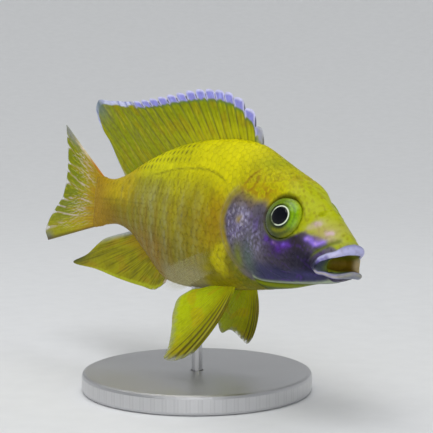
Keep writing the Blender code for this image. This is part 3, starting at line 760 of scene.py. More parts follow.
def fin_material(name):
    """A thin fin: its own colours, streaked along the rays, and see-through where its veil is thin."""
    shade = Shade(name, IOR=1.4, Specular_IOR_Level=0.12, Coat_Weight=0.04, Coat_Roughness=0.2)
    grain = shade.noise(1.1)
    streaked = shade.mix(shade.layer_of("tint"), (0.6, 0.58, 0.5, 1), (grain - 0.45) * 1.3, "MULTIPLY")
    shade.put("Base Color", streaked)
    shade.put("Roughness", grain * 0.25 + 0.3)
    shade.relief(grain, 0.06)
    shade.put("Alpha", shade.layer_of("veil", 2))
    return shade.material


def steel_material():
    """Steel turned and brushed round the stand's axis."""
    shade = Shade("turned_steel", Metallic=1.0)
    place = shade.add("TexCoord", {}, {}, 3)
    lengths = shade.add("VectorMath", {"operation": "MULTIPLY"}, {0: place, 1: (1, 1, 0)})
    radius = shade.add("VectorMath", {"operation": "LENGTH"}, {0: lengths}, 1)
    rings = shade.add("TexNoise", {"noise_dimensions": "1D"}, {"W": radius * 9000, "Detail": 3.0})
    cloud = shade.noise(14.0)
    shade.put("Base Color", shade.mix((0.5, 0.5, 0.51, 1), (0.72, 0.72, 0.73, 1), rings))
    shade.put("Roughness", rings * 0.18 + cloud * 0.14 + 0.2)
    shade.relief(rings, 0.02)
    return shade.material


def floor_material():
    """Pale matt board."""
    shade = Shade("pale_board", Roughness=0.9)
    grain = shade.noise(6.0, 4.0)
    shade.put("Base Color", shade.mix((0.74, 0.75, 0.76, 1), (0.8, 0.81, 0.82, 1), grain))
    return shade.material


def as_mesh(bm, name):
    """Turn a finished bmesh into a mesh."""
    mesh = bpy.data.meshes.new(name)
    bm.to_mesh(mesh)
    bm.free()
    return mesh


def put_object(name, data):
    """Put a new object in the scene."""
    made = bpy.data.objects.new(name, data)
    bpy.context.scene.collection.objects.link(made)
    return made


def sheet(columns, rows, slab=False):
    """A flat square grid, or a slab one thick, as a mesh to be bent."""
    bm = bmesh.new()
    bmesh.ops.create_grid(bm, x_segments=columns, y_segments=rows, size=0.5)
    if slab:
        grown = bmesh.ops.extrude_face_region(bm, geom=bm.faces[:], use_keep_orig=True)["geom"]
        raised = [v for v in grown if isinstance(v, bmesh.types.BMVert)]
        bmesh.ops.translate(bm, verts=raised, vec=Vector((0, 0, 1)))
    return as_mesh(bm, "sheet")


def places(mesh):
    """A mesh's vertices as an array."""
    flat = np.empty(len(mesh.vertices) * 3)
    mesh.vertices.foreach_get("co", flat)
    return flat.reshape(-1, 3)


def grid_places(mesh, columns, rows):
    """Each vertex's column and row on a sheet, and its side of the slab."""
    across, up, side = places(mesh).T
    i, j = np.rint((across + 0.5) * columns), np.rint((up + 0.5) * rows)
    return i.astype(int), j.astype(int), side


def put_layer(mesh, name, values):
    """Give a mesh an attribute on its vertices: a colour for each, or a number."""
    if values.ndim == 2:
        made = mesh.attributes.new(name, "FLOAT_COLOR", "POINT")
        made.data.foreach_set("color", np.column_stack([values, np.ones(len(values))]).ravel())
    else:
        made = mesh.attributes.new(name, "FLOAT", "POINT")
        made.data.foreach_set("value", values.ravel())


def put_map(mesh, name, values):
    """Give a mesh a UV map from a pair of numbers on each vertex."""
    corners = np.empty(len(mesh.loops), int)
    mesh.loops.foreach_get("vertex_index", corners)
    made = mesh.uv_layers.new(name=name)
    made.data.foreach_set("uv", values[corners].ravel())


def finish_piece(name, mesh, points, material, slot, nodes, sharp=40):
    """Bend a mesh to its points, close its seams and make it a piece of the model."""
    mesh.name = name
    mesh.vertices.foreach_set("co", to_row(points).ravel())
    bm = bmesh.new()
    bm.from_mesh(mesh)
    bmesh.ops.remove_doubles(bm, verts=bm.verts, dist=SEAM * MM)
    bmesh.ops.dissolve_degenerate(bm, edges=bm.edges, dist=SEAM / 2 * MM)
    bmesh.ops.recalc_face_normals(bm, faces=bm.faces)
    bm.to_mesh(mesh)
    bm.free()
    mesh.shade_smooth()
    mesh.set_sharp_from_angle(angle=math.radians(sharp))
    mesh.materials.append(material)
    piece = put_object(name, mesh)
    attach(piece, "root")
    if nodes:
        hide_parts(*nodes)


def skin_rings():
    """The left half of the skin as rings of points, and how far each ring is past the lips' crease."""
    share = np.linspace(0, 1, AROUND // 2 + 1)
    angle = np.radians(180 * share - 90)
    stations = np.concatenate([np.linspace(SKIN_END, BODY_END, 6),
                               np.linspace(BODY_END, SHOULDER, BODY_RINGS)[1:],
                               np.linspace(SHOULDER, SNOUT_START, SHOULDER_RINGS)[1:]])
    rings = [flesh(np.full(share.shape, s), angle) for s in stations]
    lip = np.stack([curve(column(LIPS, k), share) for k in (1, 2, 3)], -1)
    thick = curve(column(LIPS, 4), share)[:, None]
    crease_station = curve(column(LIPS, 5), share)
    crease_angle = np.radians(curve(column(LIPS, 6), share))
    for t in np.linspace(0, 1, SNOUT_RINGS)[1:]:
        s = SNOUT_START + (crease_station - SNOUT_START) * t
        rings.append(flesh(s, angle + (crease_angle - angle) * t * t * (3 - 2 * t)))
    past = [0.0] * len(rings)
    back = rings[-1] - lip
    along = np.gradient(lip, axis=0)
    along[0, ::2] = 0
    along[-1, ::2] = 0
    along /= np.linalg.norm(along, axis=-1, keepdims=True)
    back -= np.sum(back * along, -1, keepdims=True) * along
    back /= np.linalg.norm(back, axis=-1, keepdims=True)
    out = crossed(along, back)
    out *= np.sign(np.sum(out * (lip - np.array(MOUTH_BACK)), -1, keepdims=True))
    for t in np.linspace(0, 1, LIP_RINGS + 1)[1:]:
        turn = LIP_TURN * t
        rings.append(lip + thick * (math.cos(turn) * back + LIP_FLATNESS * math.sin(turn) * out))
        past.append(t)
    rim = rings[-1]
    opening = np.stack([curve(column(OPENING, k), share) for k in (1, 2, 3)], -1)
    for t in np.linspace(0, 1, MEMBRANE_RINGS + 1)[1:]:
        sunk = np.array((0, CORNER_FOLD, 0)) * math.sin(math.pi * t) * bump(0.49, 0.22, share)[:, None]
        rings.append(rim + (opening - rim) * t - sunk)
        past.append(1 + t)
    s, wide, z, tall = THROAT
    throat = np.stack([np.full(share.shape, s), wide * np.cos(angle), z + tall * np.sin(angle)], -1)
    for t in np.linspace(0, 1, MOUTH_RINGS + 1)[1:]:
        rings.append(opening + (throat - opening) * t)
        past.append(2 + t)
    rings.append(np.broadcast_to(np.array((s + 0.5, 0, z)), throat.shape))
    past.append(3.0)
    return np.array(rings), np.array(past)


def paint_mouth(base, past, colour):
    """Lay the colours of the lips, of the web at the mouth's corner and of the inside over the skin's."""
    s, side, z = np.moveaxis(base, -1, 0)
    within = past[:, None] * np.ones(base.shape[1])
    blotch = waves(base, 1.6, 12)
    upper = ramp(-0.3, 0.3, z + 6.2 + 0.12 * s)
    lips = lay(LIP, [
        # The next two coats darken the upper lip toward its crease, partly its greyer skin and partly
        # painted shade in the crease; the third is a painted highlight on the lip's front.
        ((126, 128, 148), ramp(0.4, 0.06, within) * upper * 0.9),
        ((118, 120, 156), ramp(0.6, 0.25, within) * ramp(3.2, 2.2, s) * upper * 0.75),
        ((222, 216, 250), bump(0.55, 0.22, within) * bump(4.0, 1.4, s) * upper * 0.7),
        ((104, 84, 186), ramp(5.2, 7.0, s + 0.7 * blotch) * ramp(0.25, 0.6, within) * upper * 0.8),
        ((116, 116, 170), (1 - upper) * 0.9),
        ((196, 188, 178), (1 - upper) * bump(0.74, 0.16, within) * 0.9),
        ((134, 140, 124), (1 - upper) * ramp(3.4, 2.0, s) * 0.6),
        ((150, 146, 180), ramp(0.2, 1.1, blotch) * 0.4),
        ((66, 58, 96), ramp(7.0, 8.2, s + 0.3 * blotch) * upper * 0.9),
        ((52, 54, 72), ramp(6.9, 7.8, s + 0.2 * blotch) * ramp(-8.1, -7.5, z) * 0.9),
    ])
    web = lay((60, 68, 78), [
        ((84, 98, 40), ramp(1.2, 1.9, within)),
        ((150, 148, 140), ramp(-7.7, -8.1, z) * ramp(1.5, 1.1, within) * 0.6),
        ((206, 196, 168), ramp(2.5, 3.6, side) * ramp(1.3, 1.8, within)),
    ])
    # The inside of the mouth, every colour lighter than the lining's own: painted light against the shade
    # in the mouth.
    inner = lay(MOUTH, [
        (THROAT_BROWN, ramp(-2.6, -1.0, side)),
        ((96, 100, 24), ramp(2.35, 2.0, within) * ramp(1, -1, side)),
        ((112, 128, 26), ramp(-6.1, -4.7, z + 0.2 * blotch) * 0.85),
        ((112, 112, 24), ramp(5.2, 6.8, s) * 0.35),
        ((222, 204, 160), ramp(2.6, 4.2, side) * ramp(2.7, 2.2, within) * 0.9),
    ])
    return lay(colour, [
        # Painted shade in the crease where the lips leave the skin.
        (DARK_SLATE, ramp(0.12, 0.0, within) * (past[:, None] > 0) * 0.3),
        (lips, ramp(0.02, 0.14, within)),
        (web, ramp(0.95, 1.1, within)),
        (inner, ramp(1.9, 2.05, within)),
    ])


def build_skin(material):
    """One skin over head, jaw, gill covers, trunk and stalk, under the scales by their depth."""
    left, past = skin_rings()
    mirrored = left[:, -2::-1] * np.array((1, -1, 1))
    base = np.concatenate([left, mirrored], 1)
    closed = base[:, :-1]
    around = np.roll(closed, -1, 1) - np.roll(closed, 1, 1)
    out = crossed(around, np.gradient(closed, axis=0))
    out = np.concatenate([out, out[:, :1]], 1)
    s, _, z = np.moveaxis(base, -1, 0)
    under = COAT_DEPTH * ramp(-0.1, 0.7, coat_depth(s, z)) * ramp(SKIN_END, BODY_END, s)
    high = (relief(base) - under) * (past[:, None] <= 0)
    fade = np.ones(len(past))
    edge = int(np.argmax(past > 0))
    fade[edge - FADE_RINGS:edge] = np.linspace(1, 0, FADE_RINGS)
    points = base + out * (high * fade[:, None])[..., None]
    colour = paint_mouth(base, past, paint(base))
    mesh = sheet(len(past) - 1, AROUND)
    i, j, _ = grid_places(mesh, len(past) - 1, AROUND)
    put_layer(mesh, "tint", colour[i, j])
    finish_piece("skin", mesh, points[i, j], material, "face_skin",
                 ("head", "lower_jaw", "gill_cover_left", "gill_cover_right", "trunk", "tail_stalk"), 80)


class Chart:
    """The left flank with its relief, read by station and by arc up or down from its widest line."""

    def __init__(self):
        self.s = np.linspace(*CHART_ENDS, CHART_STATIONS)
        angle = np.radians(np.linspace(-170, 170, 681))
        fine = flesh(self.s[:, None], angle[None, :])
        steps = np.linalg.norm(np.diff(fine, axis=1), axis=-1)
        arc = np.concatenate([np.zeros((len(self.s), 1)), np.cumsum(steps, 1)], 1)
        arc -= arc[:, len(angle) // 2][:, None]
        self.arc = np.linspace(-CHART_ARC, CHART_ARC, CHART_ARCS)
        self.angle = np.array([np.interp(self.arc, a, angle) for a in arc])
        base = flesh(self.s[:, None], self.angle)
        self.out = crossed(np.gradient(base, axis=0), np.gradient(base, axis=1))
        self.base = base
        self.top = base + self.out * relief(base)[..., None]

    def read(self, table, s, arc):
        """A table's values at stations and arcs."""
        x = np.clip((s - self.s[0]) / (self.s[1] - self.s[0]), 0, len(self.s) - 1.001)
        y = np.clip((arc - self.arc[0]) / (self.arc[1] - self.arc[0]), 0, len(self.arc) - 1.001)
        i, j = x.astype(int), y.astype(int)
        x, y = x - i, y - j
        if table.ndim == 3:
            x, y = x[..., None], y[..., None]
        near = table[i, j] * (1 - x) + table[i + 1, j] * x
        far = table[i, j + 1] * (1 - x) + table[i + 1, j + 1] * x
        return near * (1 - y) + far * y


def scale_roots(chart):
    """Where the scales of the left side grow: station, row and the local pitch."""
    walk = np.linspace(*COAT_ENDS, 900)
    counted = np.concatenate([[0], np.cumsum(np.diff(walk) / curve(PITCH, walk[1:]))])
    found = []
    for row in range(-COAT_ROWS, COAT_ROWS + 1):
        start = 0.5 * (row % 2)
        s = np.interp(np.arange(start, counted[-1] - 0.8, 1.0), counted, walk)
        pitch = curve(PITCH, s)
        middle = s + 0.8 * pitch
        arc = row * ROW_SHARE * curve(PITCH, middle)
        angle = np.degrees(chart.read(chart.angle, middle, arc))
        at = chart.read(chart.base, middle, arc)
        fits = coat_depth(at[:, 0], at[:, 2])
        ends = chart.read(chart.base, s + 1.7 * pitch, arc)
        tail = coat_depth(ends[:, 0], ends[:, 2])
        keep = (fits > 0.25) & (tail > -0.35) & (angle < 90.5) & (angle > -91)
        keep &= (from_eye(at) > EYE_CLEAR) & (np.abs(arc) < COAT_ARC)
        found += [(a, row, p) for a, p, k in zip(s, pitch, keep) if k]
    return np.array(found)


def scale_template():
    """One scale: a slab that is round behind, and how far along, how far across and on which side
    its vertices are."""
    mesh = sheet(*SCALE_GRID, True)
    along, across, side = places(mesh).T
    return mesh, along[None] + 0.5, across[None] * 2, side[None]


def repeated(template, count):
    """A mesh with a template's copies one after another, made by an Array modifier."""
    carrier = put_object("carrier", template)
    copies = carrier.modifiers.new("copies", "ARRAY")
    copies.count = count
    bpy.context.view_layer.update()
    whole = bpy.data.meshes.new_from_object(carrier.evaluated_get(bpy.context.evaluated_depsgraph_get()))
    bpy.data.objects.remove(carrier)
    return whole


def build_scales(material, chart):
    """The coat: each scale a plate of its own, over the one behind it, on both sides."""
    roots = scale_roots(chart)
    behind = roots[:, 0] >= COAT_SPLIT
    draw = np.random.default_rng(11)
    for part, slot, chosen in (("trunk", "scaled_skin", behind), ("head", "face_skin", ~behind)):
        group = roots[chosen]
        template, u, v, side = scale_template()
        s0, row, pitch = (group[:, k][:, None] for k in range(3))
        s = s0 + SCALE_LENGTH * pitch * u * (1 - SCALE_ROUND * np.abs(v) ** 2.4 * u)
        arc = (row + SCALE_HALF * v * (1 - SCALE_NARROWING * u * u)) * ROW_SHARE * curve(PITCH, s)
        lift = SCALE_ROOT + SCALE_RISE * u ** 0.9 + SCALE_CROWN * (1 - v * v) + SCALE_THICK * side
        lift = lift * pitch / 2
        worn = draw.uniform(0.93, 1.07, (len(group), 1, 1))
        base = chart.read(chart.base, s, arc)
        points = chart.read(chart.top, s, arc) + chart.read(chart.out, s, arc) * lift[..., None]
        height = chart.read(chart.base, s0 + pitch, row * ROW_SHARE * pitch)[..., 2]
        above = height - np.interp(s0, *np.array(LATERAL_LINES[0][0]).T)
        dark, faint = draw.uniform(0.6, 1.0, s0.shape), draw.uniform(0.0, 0.65, s0.shape)
        marked = np.maximum(ramp(48, 56, s0) * ramp(0.8, 2.0, above) * dark,
                            ramp(36, 44, s0) * bump(-2.0, 2.6, above) * faint)
        dash = bump(DASH_PLACE, 0.12, u) * bump(0.05, 0.45, v) * marked
        colour = lay(paint(base) * worn, [(DARK_OLIVE, dash)])
        rim = np.broadcast_to(ramp(0.78, 1.0, u + 0.25 * v * v) * RIM_SHADE, s.shape)
        plate = np.broadcast_to(np.stack([u, 0.5 + 0.5 * v], -1), (*s.shape, 2))
        patch = np.stack(np.broadcast_arrays(0.05 + 0.9 * (s0 - 9) / 96 + 0.003 * (u - 0.5),
                                             0.5 + row * ROW_SHARE * pitch / 64 + 0.0015 * v), -1)
        for name, sign in SIDES.items():
            mesh = repeated(template, len(group))
            put_layer(mesh, "tint", colour.reshape(-1, 3))
            put_layer(mesh, "rim", rim.ravel())
            put_map(mesh, "OFBake", patch.reshape(-1, 2))
            put_map(mesh, "plate", plate.reshape(-1, 2))
            put_at = points.reshape(-1, 3) * (1, sign, 1)
            finish_piece(f"scales_{part}_{name}", mesh, put_at, material, slot, ())


def edge_at(keys, share):
    """The station and height of a fin's edge at shares of its base."""
    return curve(column(keys, 1), share), curve(column(keys, 2), share)


def between(ends, share):
    """The place at a share of the way from one end to the other."""
    return ends[0] + share * (ends[1] - ends[0])


def dorsal_place(share, out):
    """The dorsal fin's middle surface."""
    foot = between(DORSAL_BASE, share)
    floor = curve(BACK, foot) - FIN_SUNK
    station, top = edge_at(DORSAL_EDGE, share)
    phase = share / LAPPETS_END * LAPPETS
    off = np.where(phase < LAPPETS, np.abs(phase % 1 - 0.5) * 2, 0)
    notch = NOTCH_DEPTH * (1 - (1 - np.minimum(off, 1) ** 2.4) ** 0.5)
    tall = np.maximum(np.hypot(top - floor, station - foot), 3)
    near_edge = np.clip(1 - (1 - out) * tall / LAPPET_HEIGHT, 0, 1)
    middle = (np.floor(phase) + 0.45) * LAPPETS_END / LAPPETS
    level = edge_at(DORSAL_EDGE, middle)[1]
    top = top + np.where(phase < LAPPETS, level - top, 0) * near_edge * 0.75
    reach = out - notch / tall * near_edge
    sway = 0.5 * np.sin(share * 9) * out ** 1.5 + 0.12 * np.sin(math.tau * phase) * out
    return np.stack([foot + (station - foot) * reach, sway, floor + (top - floor) * reach], -1)


def anal_place(share, out):
    """The anal fin's middle surface."""
    foot = between(ANAL_BASE, share)
    root = curve(BELLY, foot) + FIN_SUNK
    station, tip = edge_at(ANAL_EDGE, share)
    sway = 0.4 * np.sin(share * 7) * out
    return np.stack([foot + (station - foot) * out, sway, root + (tip - root) * out], -1)


def caudal_place(share, out):
    """The tail fin's middle surface."""
    foot = BODY_END - CAUDAL_SUNK[0]
    top, bottom = curve(BACK, foot) - CAUDAL_SUNK[1], curve(BELLY, foot) + CAUDAL_SUNK[1]
    root = top + share * (bottom - top)
    station, tip = edge_at(CAUDAL_EDGE, share)
    s = foot + (station - foot) * out
    return np.stack([s, 0.5 * np.sin(share * 8 + 1) * out ** 2, root + (tip - root) * out], -1)


def pectoral_place(share, out):
    """The left pectoral fin's middle surface."""
    foot, root = (between(ends, share) for ends in zip(*PECTORAL_BASE))
    station, drop = edge_at(PECTORAL_EDGE, share)
    s = foot + (station - foot) * out
    z = root + (-drop - PECTORAL_DROP - root) * out
    flank = half_width_at(s, np.maximum(z, PECTORAL_FREE))
    return np.stack([s, flank - PECTORAL_SUNK + PECTORAL_SPREAD * out ** 0.8, z], -1)


def pelvic_place(side):
    """A pelvic fin's middle surface, drawn on the left."""
    splay = math.radians(PELVIC_SPLAY[side])

    def place(share, out):
        foot = between(PELVIC_BASE, share)
        station, drop = edge_at(PELVIC_EDGE[side], share)
        s = foot + (station - foot) * out - PELVIC_BOW * (1 - share) * 4 * out * (1 - out)
        d = drop * out
        y = PELVIC_OFFSET + d * math.sin(splay) + 0.25 * np.sin(share * 9) * out
        root = belly_at(s, np.minimum(y, PELVIC_OFFSET)) + 0.9 * (1 - out) ** 2
        return np.stack([s, y, root - PELVIC_GAP * out - d * math.cos(splay)], -1)

    return place


def build_fin(name, node, place, grid, rays, paint_fin, finish, sign=1, depths=(0.26, 0.52)):
    """A fin as a thin slab with raised rays.

    place(share, out) is its middle surface, rays their number and 1 where they branch, finish a
    material and a slot, whose slot is not used, and depths those of the web and of a ray.
    paint_fin(share, out, length, ray) gives the colour and the veil.
    """
    columns, rows = grid
    number, branch = rays
    web, stout = depths
    share, out = np.meshgrid(np.linspace(0, 1, columns + 1), np.linspace(0, 1, rows + 1) ** 0.9,
                             indexing="ij")
    middle = place(share, out)
    normal = crossed(np.gradient(middle, axis=0), np.gradient(middle, axis=1))
    phase = share * number
    near_edge = np.abs(phase - np.rint(phase))
    split = branch * ramp(0.4, 0.75, out) * 0.2
    ray = bump(0, 0.13, near_edge - split)
    thick = web + (stout - web) * ray * (1 - 0.55 * out)
    thick *= 1 - 0.5 * ramp(0.93, 1.0, out)
    length = np.linalg.norm(middle[:, -1] - middle[:, 0], axis=-1)[:, None]
    colour, veil = paint_fin(share, out, length, ray)
    mesh = sheet(columns, rows, True)
    i, j, side = grid_places(mesh, columns, rows)
    points = middle[i, j] + normal[i, j] * (thick[i, j] * (side - 0.5))[:, None]
    put_layer(mesh, "tint", colour[i, j])
    put_layer(mesh, "veil", veil[i, j])
    finish_piece(name, mesh, points * (1, sign, 1), *finish, (node,), 60)


def paint_dorsal(share, out, length, ray):
    """Olive yellow with dark spines, brown clouds, and blue lappets with pale rims along the edge."""
    below = (1 - out) * length
    phase = share / LAPPETS_END * LAPPETS
    front = ramp(LAPPETS_END + 0.02, LAPPETS_END - 0.02, share)
    place = np.stack([share * 55, out * 9], -1)
    soft, fine = waves(place, 6.0, 21), waves(place * (1, 0.3), 1.1, 22)
    faint = bump(0.5, 0.07, phase % 1)
    strong = (ray * 0.8 + faint * 0.45) * (0.65 + 0.35 * np.clip(fine, -1, 1))
    strong *= 1 - 0.4 * ramp(0.5, 0.8, share)
    grain = waves(place * (1.5, 1.2), 0.9, 23)
    across = np.where(phase < LAPPETS, np.abs(phase % 1 - 0.5) * 2, 0)
    rim = np.maximum(ramp(0.5, 0.85, across), ramp(1.1, 0.35, below + 0.7 * across ** 2.4))
    block = lay((150, 150, 228), [
        ((176, 184, 250), ramp(0.2, 1.2, fine) * 0.6),
        ((216, 216, 252), rim),
    ])
    rear = lay((214, 218, 250), [((160, 168, 224), ramp(0.2, 1.0, fine))])
    colour = lay((148, 158, 2), [
        ((190, 190, 2), ramp(0.7, 0.1, out) * ramp(0.8, 0.3, share)),
        ((170, 138, 18), ramp(0.1, 0.9, soft + 0.6 * fine) * 0.4),
        ((118, 104, 70), ramp(0.2, 1.0, fine - soft) * ramp(0.4, 0.8, share) * 0.35),
        ((200, 200, 24), ramp(0.3, 1.0, fine) * 0.45),
        ((84, 86, 10), strong),
        ((112, 104, 14), ramp(0.3, 1.1, grain) * ramp(0.3, 0.7, share) * 0.45),
        ((92, 124, 60), bump(3.2, 0.5, below) * front * 0.7),
        (block, ramp(3.15, 2.5, below + 0.2 * fine) * front),
        (rear, ramp(2.3, 1.8, below + 0.3 * soft) * (1 - front)),
        ((44, 46, 60), ramp(0.84, 0.96, across) * ramp(2.8, 2.3, below) * front * 0.8),
        ((104, 124, 116), blob(share, out, 0.865, 0.93, 0.03, 0.16) * 0.85),
        ((170, 172, 168), ramp(0.05, 0.02, share) * ramp(0.0, 0.3, out) * 0.75),
        ((196, 202, 190), ramp(0.975, 0.997, share) * 0.7),
    ])
    slit = ramp(0.93, 0.99, across) * ramp(1.9, 1.5, below) * front
    return colour, 1 - slit


def paint_anal(share, out, length, ray):
    """Olive yellow with dark streaks, a bluish rear edge, a dark tip and a bright lower edge."""
    below = (1 - out) * length
    place = np.stack([share * 22, out * 10], -1)
    soft, fine = waves(place, 5.0, 41), waves(place * (1, 0.1), 1.0, 42)
    streaks = waves(place * (2.4, 0.12), 1.2, 43)
    colour = lay((162, 158, 2), [
        ((188, 136, 18), ramp(0.3, 0, out) * 0.5),
        ((176, 138, 14), ramp(0.3, 1.0, soft) * 0.35),
        ((128, 124, 6), ramp(0.2, 1.0, -soft) * 0.5),
        ((88, 82, 8), ramp(-0.2, 1.0, streaks) * ramp(-0.9, 0.3, fine) * 0.6),
        ((92, 78, 24), ramp(0.14, 0.0, share) * ramp(0.3, 0.9, out) * 0.8),
        ((188, 196, 30), ramp(1.8, 0.8, below) * ramp(0.8, 0.6, share) * 0.8),
        ((204, 214, 220), ramp(0.9, 0.97, share) * 0.85),
        ((60, 70, 36), blob(share, out, 0.81, 0.92, 0.06, 0.2) * 0.85),
        ((226, 200, 190), ramp(0.03, 0.012, share) * ramp(0.2, 0.6, out) * 0.8),
    ])
    ragged = ramp(0.9, 0.99, out + 0.05 * np.sin(share * 90)) * ramp(0.3, 0.05, share)
    return colour, 1 - 0.85 * ragged


def paint_caudal(share, out, length, ray):
    """Golden at the root, then green-tipped bundles of rays with pale streaks and gaps between them."""
    place = np.stack([share * 30, out * 12], -1)
    soft, fine = waves(place, 5.0, 31), waves(place * (1, 0.35), 1.0, 32)
    off = np.abs((share * BUNDLES + 0.25 * np.sin(out * 5 + share * 20)) % 1 - 0.5) * 2
    gap = ramp(0.6, 0.92, off)
    streak = gap * ramp(0.26, 0.44, out + 0.06 * soft) * ramp(-0.35, 0.6, soft + 1.2 * fine)
    streak *= 1 - 0.65 * ramp(0.5, 0.35, share) * ramp(0.5, 0.72, out)
    dabs = ramp(0.35, 0.9, waves(place * (2.2, 0.9), 1.1, 33)) * bump(0.5, 0.2, out + 0.1 * soft)
    dabs *= 1 - 0.75 * bump(0.46, 0.14, share)
    colour = lay((166, 158, 6), [
        ((184, 148, 24), ramp(0.55, 0.1, out + 0.1 * soft) * 0.9),
        ((186, 118, 24), ramp(0.2, 1.0, fine) * bump(0.35, 0.2, out) * 0.4),
        ((124, 138, 8), ramp(0.4, 0.75, out) * (1 - gap) * 0.85),
        ((190, 188, 6), ramp(0.3, 1.0, fine) * (1 - gap) * 0.4),
        ((232, 216, 220), np.maximum(streak * 0.75, dabs * 0.95) * ramp(0.99, 0.9, share) * 0.8),
        ((198, 120, 30), bump(0.75, 0.12, off) * ramp(0.3, 1.0, -fine) * bump(0.45, 0.22, out) * 0.5),
        ((190, 180, 14), ramp(0.75, 0.95, share) * ramp(0.1, 0.4, out) * 0.5),
        ((150, 152, 150), ramp(0.12, 0.02, share) * ramp(0.55, 0.9, out) * 0.85),
        ((244, 226, 196), bump(0.012, 0.016, share) * bump(0.5, 0.2, out) * 0.9),
        ((206, 130, 30), ramp(0.05, 0.0, share) * ramp(0.45, 0.2, out) * 0.8),
        ((112, 118, 132), ramp(0.9, 1.0, share) * ramp(0.8, 0.97, out) * 0.75),
        ((84, 66, 20), ramp(0.97, 0.995, share) * 0.7),
    ])
    tip = np.clip((out - 0.86) / 0.14, 0, 1)
    round_off = ramp(0.95, 1.1, np.hypot(off * ramp(0.5, 0.8, out), tip))
    middle = ramp(0.02, 0.1, share) * ramp(1.0, 0.9, share)
    open_end = 0.75 * round_off * middle * ramp(0.8, 0.9, out)
    return colour, 1 - open_end - 0.2 * gap * ramp(0.55, 0.85, out) * middle


def paint_pectoral(share, out, length, ray):
    """Bright yellow at the root, then nearly clear with faint rays."""
    soft = waves(np.stack([share * 9, out * 9], -1), 3.0, 51)
    colour = lay((184, 180, 136), [
        ((222, 208, 6), ramp(0.42, 0.2, out + 0.06 * soft)),
        ((150, 136, 40), ray * ramp(0.1, 0.3, out) * 0.35),
    ])
    opaque = 0.12 * ramp(0.42, 0.2, out + 0.05 * soft) * ramp(0.14, 0.34, out)
    opaque *= ramp(0, 0.25, share) * ramp(1, 0.6, share)
    web = ramp(0.2, 0.5, out + 0.04 * soft) * ramp(1.0, 0.75, out)
    web *= ramp(0, 0.12, share) * ramp(1, 0.85, share)
    return colour, np.clip((0.15 + 0.1 * ray) * web + opaque, 0, 1)


def paint_pelvic(share, out, length, ray):
    """Bright yellow-green with fine rays, and dark lines down the leading edge."""
    place = np.stack([share * 12, out * 12], -1)
    soft, fine = waves(place, 4.0, 61), waves(place * (1, 0.25), 0.8, 62)
    colour = lay((178, 180, 0), [
        ((190, 204, 0), ramp(0.2, 0.7, share)),
        ((200, 176, 4), ramp(0.2, 1.0, soft) * 0.5),
        ((120, 112, 8), ray * 0.35 * ramp(-0.6, 0.6, fine) * ramp(0.75, 0.4, share)),
        ((124, 116, 6), ramp(0.42, 0.1, share) * ramp(0.1, 0.4, out) * 0.45),
        *(((66, 56, 14), bump(at, wide, share) * ramp(0.04, 0.2, out) * much)
          for at, wide, much in PELVIC_LINES),
        ((190, 182, 80), bump(0.055, 0.012, share) * ramp(0.1, 0.3, out) * 0.45),
        ((170, 176, 120), ramp(0.88, 1.0, out + 0.03 * fine) * 0.6),
    ])
    ragged = ramp(0.95, 1.0, out + 0.04 * np.sin(share * 70) * np.sin(share * 31)) * ramp(0.5, 0.3, share)
    return colour, 1 - 0.8 * ragged - 0.25 * ramp(0.85, 1.0, out) * (1 - ragged)


def build_fins():
    """All seven fins."""
    web = fin_material("fin_web"), "fin"
    clear = fin_material("clear_web"), "clear_fin"
    spines = LAPPETS / LAPPETS_END, 0
    build_fin("dorsal_fin_membrane", "dorsal_fin", dorsal_place, (375, 44), spines, paint_dorsal, web)
    build_fin("anal_fin_membrane", "anal_fin", anal_place, (150, 50), (12, 1), paint_anal, web)
    build_fin("caudal_fin_membrane", "caudal_fin", caudal_place, (260, 70), (20, 0), paint_caudal, web)
    for side, sign in SIDES.items():
        build_fin(f"pectoral_fin_web_{side}", f"pectoral_fin_{side}", pectoral_place, (130, 44), (13, 1),
                  paint_pectoral, clear, sign, (0.2, 0.42))
        build_fin(f"pelvic_fin_web_{side}", f"pelvic_fin_{side}", pelvic_place(side), (150, 60), (14, 1),
                  paint_pelvic, web, sign, (0.3, 0.56))


def eye_material():
    """A wet eye: black pupil, pale ring, dark band and green iris, told apart by the reach."""
    shade = Shade("wet_eye", Roughness=0.15, IOR=1.33, Specular_IOR_Level=0.3, Coat_Weight=0.35,
                  Coat_Roughness=0.02, Coat_IOR=1.35)
    tint = shade.layer_of("tint")
    reach = shade.layer_of("reach", 2)

    def ring(*stops):
        return shade.add("ValToRGB", {"stops": stops}, {"Fac": reach})

    fleck = shade.noise(0.5, 3.0)
    tint = shade.mix(tint, (0.34, 0.38, 0.26, 1), (fleck - 0.42) * 1.5, "MULTIPLY")
    band = ring((0.0, 0.0), (0.44, 0.2), (0.5, 1.0), (0.56, 0.9), (0.66, 0.0))
    tint = shade.mix(tint, (0.006, 0.01, 0.006, 1), band * shade.layer_of("band", 2))
    pale = ring((0.0, 0.0), (0.43, 0.0), (0.45, 1.0), (0.485, 1.0), (0.51, 0.0))
    tint = shade.mix(tint, (0.78, 0.86, 0.66, 1), pale * shade.layer_of("glow", 2))
    tint = shade.mix(tint, (0.002, 0.003, 0.006, 1), ring((0.0, 1.0), (0.432, 1.0), (0.446, 0.0)))
    shade.put("Base Color", tint)
    return shade.material


